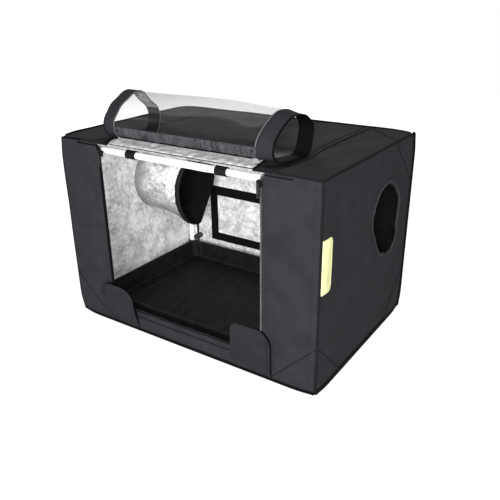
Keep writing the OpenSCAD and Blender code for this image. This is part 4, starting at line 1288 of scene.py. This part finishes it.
def port_ring(side):
    """The cloth round a port, drawn in unevenly at the hole, and the collar behind it"""
    s = 1 if side == "right" else -1
    turn = np.linspace(0, 2 * np.pi, 216, endpoint=False)
    degrees = np.degrees(turn)

    def bump(middle, width, height):
        away = (degrees - middle + 180) % 360 - 180
        return height * np.exp(-(away / width) ** 2)

    draw = (bump(212, 44, 28) + bump(348, 24, 11) + bump(45, 40, 9) + bump(150, 7, 3)
            + bump(133, 5, 2))
    low = bump(303, 17, 8.5)
    draw = draw + 0.9 + 0.5 * np.sin(11 * turn) + 0.4 * np.sin(19 * turn + 1)
    edge_r = 76.0 - draw

    def circle(x, r):
        """A ring round the port's axis"""
        return np.stack([s * x + 0 * turn, PORT[0] + r * np.cos(turn),
                         PORT[1] + r * np.sin(turn)], -1)

    rows = [(0, 0.1), (0.08, 0.8), (0.3, 1.0), (0.6, 0.9), (0.85, 1.3), (0.97, 1.0), (1.0, 0.0),
            (0.97, -1.2)]
    outer, inner = [], []
    for u, h in rows:
        r = RING_R - (RING_R - edge_r) * u
        wrinkle = 0.35 * np.sin(31 * turn + 3 * np.sin(2 * turn)) * smooth((u - 0.2) / 0.3)
        sunk = 0.12 * (draw + 1) * u * u
        x = 300 + h + wrinkle * (h > 0.5) - sunk
        outer.append(circle(x, r))
        back = np.minimum(x - 1.0, 299.4 - sunk)
        inner.append(circle(back, np.minimum(r + 1.2 * smooth((u - 0.9) / 0.1), RING_R)))
    for h, r in ((-4.5, 74.6), (-10, 74.9)):
        outer.append(circle(300 + h, r))
        inner.append(circle(300 + h, r + 1.1))

    def reach(c):
        return np.hypot(c[:, 1] - PORT[0], c[:, 2] - PORT[1])

    def painted_shade(c):
        """How far the painted black shadow reaches out from the low side of the opening"""
        angle = np.degrees(np.arctan2(c[:, 2] - PORT[1], c[:, 1] - PORT[0]))
        return 8.5 * np.exp(-((angle + 57) / 17) ** 2)

    def paint(c, numbers):
        """Black on the collar, and black as painted shadow inside the low side of the opening"""
        # bound: the faces painted black as the shadow in the low side of the opening
        bound = (painted_shade(c) > 0.6) & (reach(c) < 76 + painted_shade(c))
        return np.where((numbers == 0) & ((np.abs(c[:, 0]) < 295.8) | bound), 3, numbers)

    shell(f"{side}_port_ring", np.array(outer), np.array(inner), [CLOTH, BLACK, BLACK, BLACK],
          "tent", "cover_cloth", ("port_rings",), wrap=True, sharp=60, paint=paint)
    # A lighter line round the opening's rim
    seam = np.minimum(edge_r + 5.0 + low * 0.6, RING_R)
    RING_LINES.tube(circle(301.2 - 0.1 * draw, seam), 0.8, 6, closed=True, up=(s, 0, 0))


RING_LINES = Pile()
port_ring("right")
port_ring("left")
RING_LINES.make("port_seams", [PALE_LINE], "tent", "cover_cloth")

SLEEVE_LEN, SLEEVE_R, COLLAR_END = 120.0, 76.8, 0.0917
HEM_START = 0.9


def left_sleeve_at(s, a, grow=0.0):
    """The open sleeve inside the left wall, straight at its collar, then drooping"""
    s, a = np.broadcast_arrays(s, a)
    r = SLEEVE_R + grow
    u = np.clip((s - COLLAR_END) / (HEM_START - COLLAR_END), 0, 1)
    pull = u * u
    fall = pull * (24 + 6 * ((1 + np.cos(a)) / 2) ** 2)
    y = 75 + 12 * u + r * np.sin(a) * (1 - pull * (0.08 + 0.1 * np.cos(a)))
    y = y - 27 * pull * np.exp(-((a - 0.95) / 0.75) ** 2)
    z = 250 - r * np.cos(a) - fall
    return np.stack([-298 + SLEEVE_LEN * s, y, z], -1)


def left_sleeve():
    """The open sleeve's lumpy cloth, pleated towards its end, and its puckered hem"""
    a = np.linspace(0, 2 * np.pi, 132, endpoint=False)
    s = np.linspace(0.0, 0.905, 34)
    grid_s, grid_a = lattice(s, a)
    dent = waves(71, 9, 0.35, 1.3)
    pleats = 0.75 * np.sin(29 * grid_a + 2.5 * np.sin(2 * grid_a)) * smooth((grid_s - 0.62) / 0.26)
    lumps = (2.0 * dent(np.cos(grid_a) + grid_s * 1.3, np.sin(grid_a))
             * smooth((grid_s - 0.1) / 0.25) * smooth((1.02 - grid_s) / 0.2))
    grow = 1.4 + lumps + pleats
    obj = shell("left_sleeve_cloth", left_sleeve_at(grid_s, grid_a, grow),
                left_sleeve_at(grid_s, grid_a, grow - 0.9), [SLEEVE, BLACK, BLACK], "tent",
                "black_cloth", ("left_sleeve",), wrap=True, sharp=80)
    s = np.array([0.897, 0.902, 0.94, 0.98, 1.0, 1.004])
    grow_at = np.array([1.6, 2.3, 2.9, 2.8, 2.2, 1.2])
    grid_s, grid_a = lattice(s, a)
    pucker = 0.6 * np.sin(29 * grid_a + 2.5 * np.sin(2 * grid_a))
    high = grow_at[:, None] + pucker
    hem = shell("left_sleeve_hem", left_sleeve_at(grid_s, grid_a, high),
                left_sleeve_at(np.clip(grid_s, 0.897, 1.0), grid_a, pucker * 0.5),
                [WEBBING, BLACK, BLACK], "tent", "black_cloth", ("left_sleeve",), wrap=True,
                sharp=80)


left_sleeve()


def right_sleeve():
    """The sleeve inside the right wall, drawn shut by its cord: pleats run in to a tight neck"""
    a = np.linspace(0, 2 * np.pi, 176, endpoint=False)
    stations = np.array([(0, 76.9), (8, 77), (14, 76.6), (26, 73.2), (40, 66.9), (52, 59.5),
                         (66, 49), (80, 37), (92, 25), (102, 15.5), (108, 11.2), (112, 11.0)])
    fine_x = np.linspace(0, 112, 44)
    fine_r = np.interp(fine_x, *stations.T)
    deep = np.interp(fine_x, [0, 14, 40, 80, 112], [0, 0.1, 1.7, 2.3, 1.1])[:, None]
    grid = 22 * a + 1.6 * np.sin(3 * a)
    pleat = deep * (0.8 * np.sin(grid)[None, :] + 0.35 * np.sin(2.2 * grid + 1)[None, :])
    radius = fine_r[:, None] + pleat

    def rings(x, r):
        """Pleated rings round the port's axis, at depths behind the wall"""
        return np.stack([298 - x[:, None] + 0 * r, PORT[0] + r * np.sin(a),
                         PORT[1] - r * np.cos(a)], -1)

    obj = shell("right_sleeve_cloth", rings(fine_x, np.maximum(radius + 0.9, 1.0)),
                rings(fine_x, np.maximum(radius + 0.1, 1.0)), [SILVER, BLACK, BLACK], "tent",
                "black_cloth", ("right_sleeve",), wrap=True, sharp=80)
    hem_x = np.array([108, 110, 114, 118, 120, 120.2])
    hem_r = np.array([11.5, 12.6, 13, 12.7, 11.2, 0.6])
    pucker = 0.7 * np.sin(grid)
    rr = np.maximum(hem_r[:, None] + pucker * np.array([0.5, 1, 1, 1, 0.7, 0])[:, None], 0.3)
    hem = shell("right_sleeve_hem", rings(hem_x, rr),
                rings(np.minimum(hem_x, 117.5), np.maximum(rr - 2.2, 0.2)),
                [BLACK, BLACK, BLACK], "tent", "black_cloth", ("right_sleeve",), wrap=True,
                sharp=80)


right_sleeve()

# ---------------------------------------------------------------- the back vent

VENT_OUTER = (-226, 226, 54, 204)


def vent_border(pile, width, lower, pitch, place, depth):
    """Four strips of tape round the vent; place gives a strip's near side"""
    (left, right, foot, head), upper = VENT_OUTER, VENT[3]
    for low_a, high_a, low_b, high_b in (
            (left, right, upper, head), (left, right, foot, lower),
            (left, left + width, lower, upper), (right - width, right, lower, upper)):
        near = place(*lattice(steps(low_a, high_a, pitch), steps(low_b, high_b, pitch)))
        pile.sheet(near, near + [0, depth, 0])


def vent():
    """The back vent: threads of its net, its hook-and-loop tape, and the bound flap inside"""
    net = Pile()
    low_x, high_x, low_z, high_z = VENT[0] - 4, VENT[1] + 4, VENT[2] - 4, VENT[3] + 4
    for x in np.arange(low_x, high_x + 0.1, 3.2):
        z = np.linspace(low_z, high_z, 5)
        net.tube(np.stack([0 * z + x, 0 * z + 197.45, z], -1), 0.3, 4, up=(1, 0, 0))
    for z in np.arange(low_z, high_z + 0.1, 3.2):
        x = np.linspace(low_x, high_x, 12)
        net.tube(np.stack([x, 0 * x + 197.8, 0 * x + z], -1), 0.3, 4)
    net.make("vent_net_threads", [NET], "tent", "mesh", ("vent_mesh",))
    strips = Pile()
    nap, lie = waves(81, 6, 5, 14), waves(82, 8, 40, 120)

    def tape(a, b):
        return np.stack([a, 197.45 + 0.1 * nap(a, b), b], -1)

    def inside(a, b, y):
        """The flap's surface, which ripples more towards its foot"""
        return np.stack([a, y + 0.35 * lie(a, b) * smooth((203 - b) / 30), b], -1)

    vent_border(strips, 24, 78, 4, tape, 0.5)
    strips.make("vent_hook_tape", [BLACK], "tent", "black_cloth", ("vent_hook_strips",))
    near = inside(*lattice(steps(-225.5, 225.5, 5), steps(54.5, 203.6, 5)),
                  196.15)
    flap = shell("vent_flap_cloth", near, near + [0, 0.75, 0], [SILVER, BLACK, BLACK],
                 "vent_cover", "cover_cloth", ("vent_flap",))
    border = Pile()
    vent_border(border, 23, 76, 5, lambda a, b: inside(a, b, 195.75), 0.45)
    border.make("vent_flap_border", [BLACK], "vent_cover", "black_cloth")


vent()

# ---------------------------------------------------------------- pole straps and floor tray

POLE_Y, POLE_Z = -186.5, 381.2


def pole_straps():
    """Two webbing loops from the roof's front edge round the front pole"""
    pile = Pile()
    top, neck = 398.2, 391
    turn = np.radians(np.linspace(100, 440, 40))
    for low, high in ((-125, -101), (86, 110)):
        x = steps(low, high, 3)
        sides = []
        for r in (8.3, 6.65):
            out = r - 6.2
            line = ([(POLE_Y - out, top), (POLE_Y - out, neck)]
                    + [(POLE_Y + r * math.cos(t), POLE_Z + r * math.sin(t)) for t in turn]
                    + [(POLE_Y + out, neck), (POLE_Y + out, top)])
            y, z = np.array(line).T
            sides.append(np.stack(np.broadcast_arrays(x[:, None], y, z), -1))
        pile.sheet(*sides)
    pile.make("pole_strap_webbing", [WEBBING], "tent", "black_cloth", ("pole_straps",), 60)


pole_straps()


def rounded_rect(half_w, half_d, radius, per_corner=8, edge_points=6):
    """Points round a rectangle with rounded corners, anticlockwise from its right side"""
    corners = []
    for cx, cy, start in ((1, 1, 0), (-1, 1, 90), (-1, -1, 180), (1, -1, 270)):
        turn = np.radians(start + 90 * np.arange(per_corner + 1) / per_corner)
        corners.append(np.stack([cx * (half_w - radius) + radius * np.cos(turn),
                                 cy * (half_d - radius) + radius * np.sin(turn)], 1))
    out = []
    for corner, following in zip(corners, corners[1:] + corners[:1]):
        a, b = corner[-1], following[0]
        out += [corner] + [[a + (b - a) * k / edge_points] for k in range(1, edge_points)]
    return np.concatenate(out)


def floor_tray():
    """A vacuum-formed tray: rolled rim, drafted walls with a fillet, and low ribs on its floor"""
    low, high, wall, corner_r = 2.0, 48.0, 1.5, 14
    half = np.array([270.5, 170.5])

    def rings(profile):
        """Rings round the tray, each at an inset and a height"""
        out = []
        for inset, z in profile:
            ring = rounded_rect(half[0] - inset, half[1] - inset, max(corner_r - inset, 3))
            out.append(np.concatenate([ring, np.full((len(ring), 1), z)], 1))
        return np.array(out)

    pile = Pile()
    pile.sheet(rings([(-4.0, high - 1.5), (-4.0, high - 0.3), (-3.5, high), (0.4, high),
                      (1.3, high - 0.5), (1.5, high - 1.5), (1.5, low + 8), (1.9, low + 4.5),
                      (3.2, low + 2.4), (5.5, low + 1.5), (9, low + 1.5)]),
               rings([(-4.0, high - 1.5), (-4.0, high - 1.5), (-3.5, high - 1.5),
                      (0.0, high - 1.5), (0.0, high - 1.9), (0.0, high - 3), (0.0, low + 6),
                      (0.3, low + 3), (1.4, low + 1), (4, low), (9, low)]), wrap=True)
    x, y = steps(-half[0] + 8, half[0] - 8, 3.0), steps(-half[1] + 8, half[1] - 8, 3.0)
    grid_x, grid_y = lattice(x, y)
    margin = edge_fade(grid_x, grid_y, half[0] - 16, half[1] - 16, 5)
    ribs = smooth((np.cos(grid_x * 2 * np.pi / 30) - 0.72) / 0.2)
    ribs = ribs * smooth((np.abs(grid_y) - 12) / 4)
    top = np.stack([grid_x, grid_y, low + wall + margin * 1.3 * ribs], -1)
    bottom = np.stack([grid_x, grid_y, low + 0.02 + 0 * grid_x], -1)
    corner = (np.maximum(np.abs(grid_x) - (half[0] - corner_r), 0) ** 2
              + np.maximum(np.abs(grid_y) - (half[1] - corner_r), 0) ** 2)
    pile.sheet(top, bottom, keep=(corner[:-1, :-1] + corner[1:, 1:]) / 2 < 60)
    pile.make("floor_tray_shell", [TRAY_PLASTIC], "tent", "black_plastic", ("floor_tray",), 40)


floor_tray()

STITCHES.make("cover_stitching", [THREAD], "tent", "cover_cloth")
# Seam lines and tapes, with the black strip of painted shade round the foot of the walls
PATCH_LINES.make("cover_lines_and_painted_foot_shade", [BLACK, SEAM_CLOTH], "tent", "black_cloth", (), 60)

# ---------------------------------------------------------------- carried-over solids

KEPT_FINISHES = ((("_pole", "_upright"), POLE),
                 (("_corner", "_cord_lock", "_lock_button"), PLASTIC),
                 (("_slider", "_pull"), DARK_METAL), (("_spring",), STEEL))
for name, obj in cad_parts.items():
    for endings, finish in KEPT_FINISHES:
        if name.endswith(endings):
            for material_slot in obj.material_slots:
                material_slot.material = finish

# ---------------------------------------------------------------- floor, light, world

def stage_and_light():
    """A white floor that keeps a faint shadow, a white surround, and soft light from in front"""
    f = Finish("floor", Roughness=0.9)
    path = f.add("LightPath")
    direct = f.maths("MAXIMUM", path.outputs["Is Camera Ray"],
                     f.maths("MAXIMUM", path.outputs["Is Glossy Ray"],
                             path.outputs["Is Transmission Ray"]))
    plain = f.add("BsdfDiffuse", {"Color": grey(0.6)}).outputs[0]
    shown = f.add("BsdfDiffuse", {"Color": grey(0.38)}).outputs[0]
    glow = f.add("Emission", {"Color": grey(1.0), "Strength": 0.84}).outputs[0]
    seen = f.add("AddShader", {0: shown, 1: glow}).outputs[0]
    mixed = f.add("MixShader", {0: direct, 1: plain, 2: seen}).outputs[0]
    f.tree.links.new(mixed, f.tree.nodes["Material Output"].inputs["Surface"])
    size = 14.0
    mesh = bpy.data.meshes.new("floor")
    corners = ((-size, -size), (size, -size), (size, size), (-size, size))
    mesh.from_pydata([(x, y, -0.0006) for x, y in corners], [], [(0, 1, 2, 3)])
    mesh.materials.append(f.material)
    floor = bpy.data.objects.new("floor", mesh)
    bpy.context.scene.collection.objects.link(floor)

    world = bpy.data.worlds.new("world")
    bpy.context.scene.world = world
    world.use_nodes = True
    tree = world.node_tree
    tree.nodes.clear()
    path = tree.nodes.new("ShaderNodeLightPath")
    direct = tree.nodes.new("ShaderNodeMath")
    direct.operation = "MAXIMUM"
    tree.links.new(path.outputs["Is Camera Ray"], direct.inputs[0])
    tree.links.new(path.outputs["Is Transmission Ray"], direct.inputs[1])
    mix = tree.nodes.new("ShaderNodeMixShader")
    tree.links.new(direct.outputs[0], mix.inputs[0])
    for socket, strength in ((1, 0.42), (2, 1.0)):
        light = tree.nodes.new("ShaderNodeBackground")
        light.inputs["Color"].default_value = grey(1)
        light.inputs["Strength"].default_value = strength
        tree.links.new(light.outputs[0], mix.inputs[socket])
    out = tree.nodes.new("ShaderNodeOutputWorld")
    tree.links.new(mix.outputs[0], out.inputs["Surface"])

    for name, place, aim, power, width in (
            ("key", (1.30, -2.62, 0.95), (0, -0.1, 0.2), 107, 0.9),
            ("back", (-1.6, 2.3, 1.1), (0, 0, 0.2), 24, 1.4),
            ("inside", (0.1, -0.15, 0.335), (-0.3, 0.0, 0.16), 0.85, 0.1)):
        data = bpy.data.lights.new(name, "AREA")
        data.energy, data.size = power, width
        lamp = bpy.data.objects.new(name, data)
        back = unit(np.array(place) - np.array(aim))
        right = unit(np.cross([0, 0, 1], back))
        matrix = Matrix(np.stack([right, np.cross(back, right), back], 1).tolist()).to_4x4()
        matrix.translation = place
        lamp.matrix_world = matrix
        lamp.visible_camera = name != "inside"
        bpy.context.scene.collection.objects.link(lamp)


stage_and_light()
bpy.context.scene.view_settings.view_transform = "Standard"

bpy.context.view_layer.update()
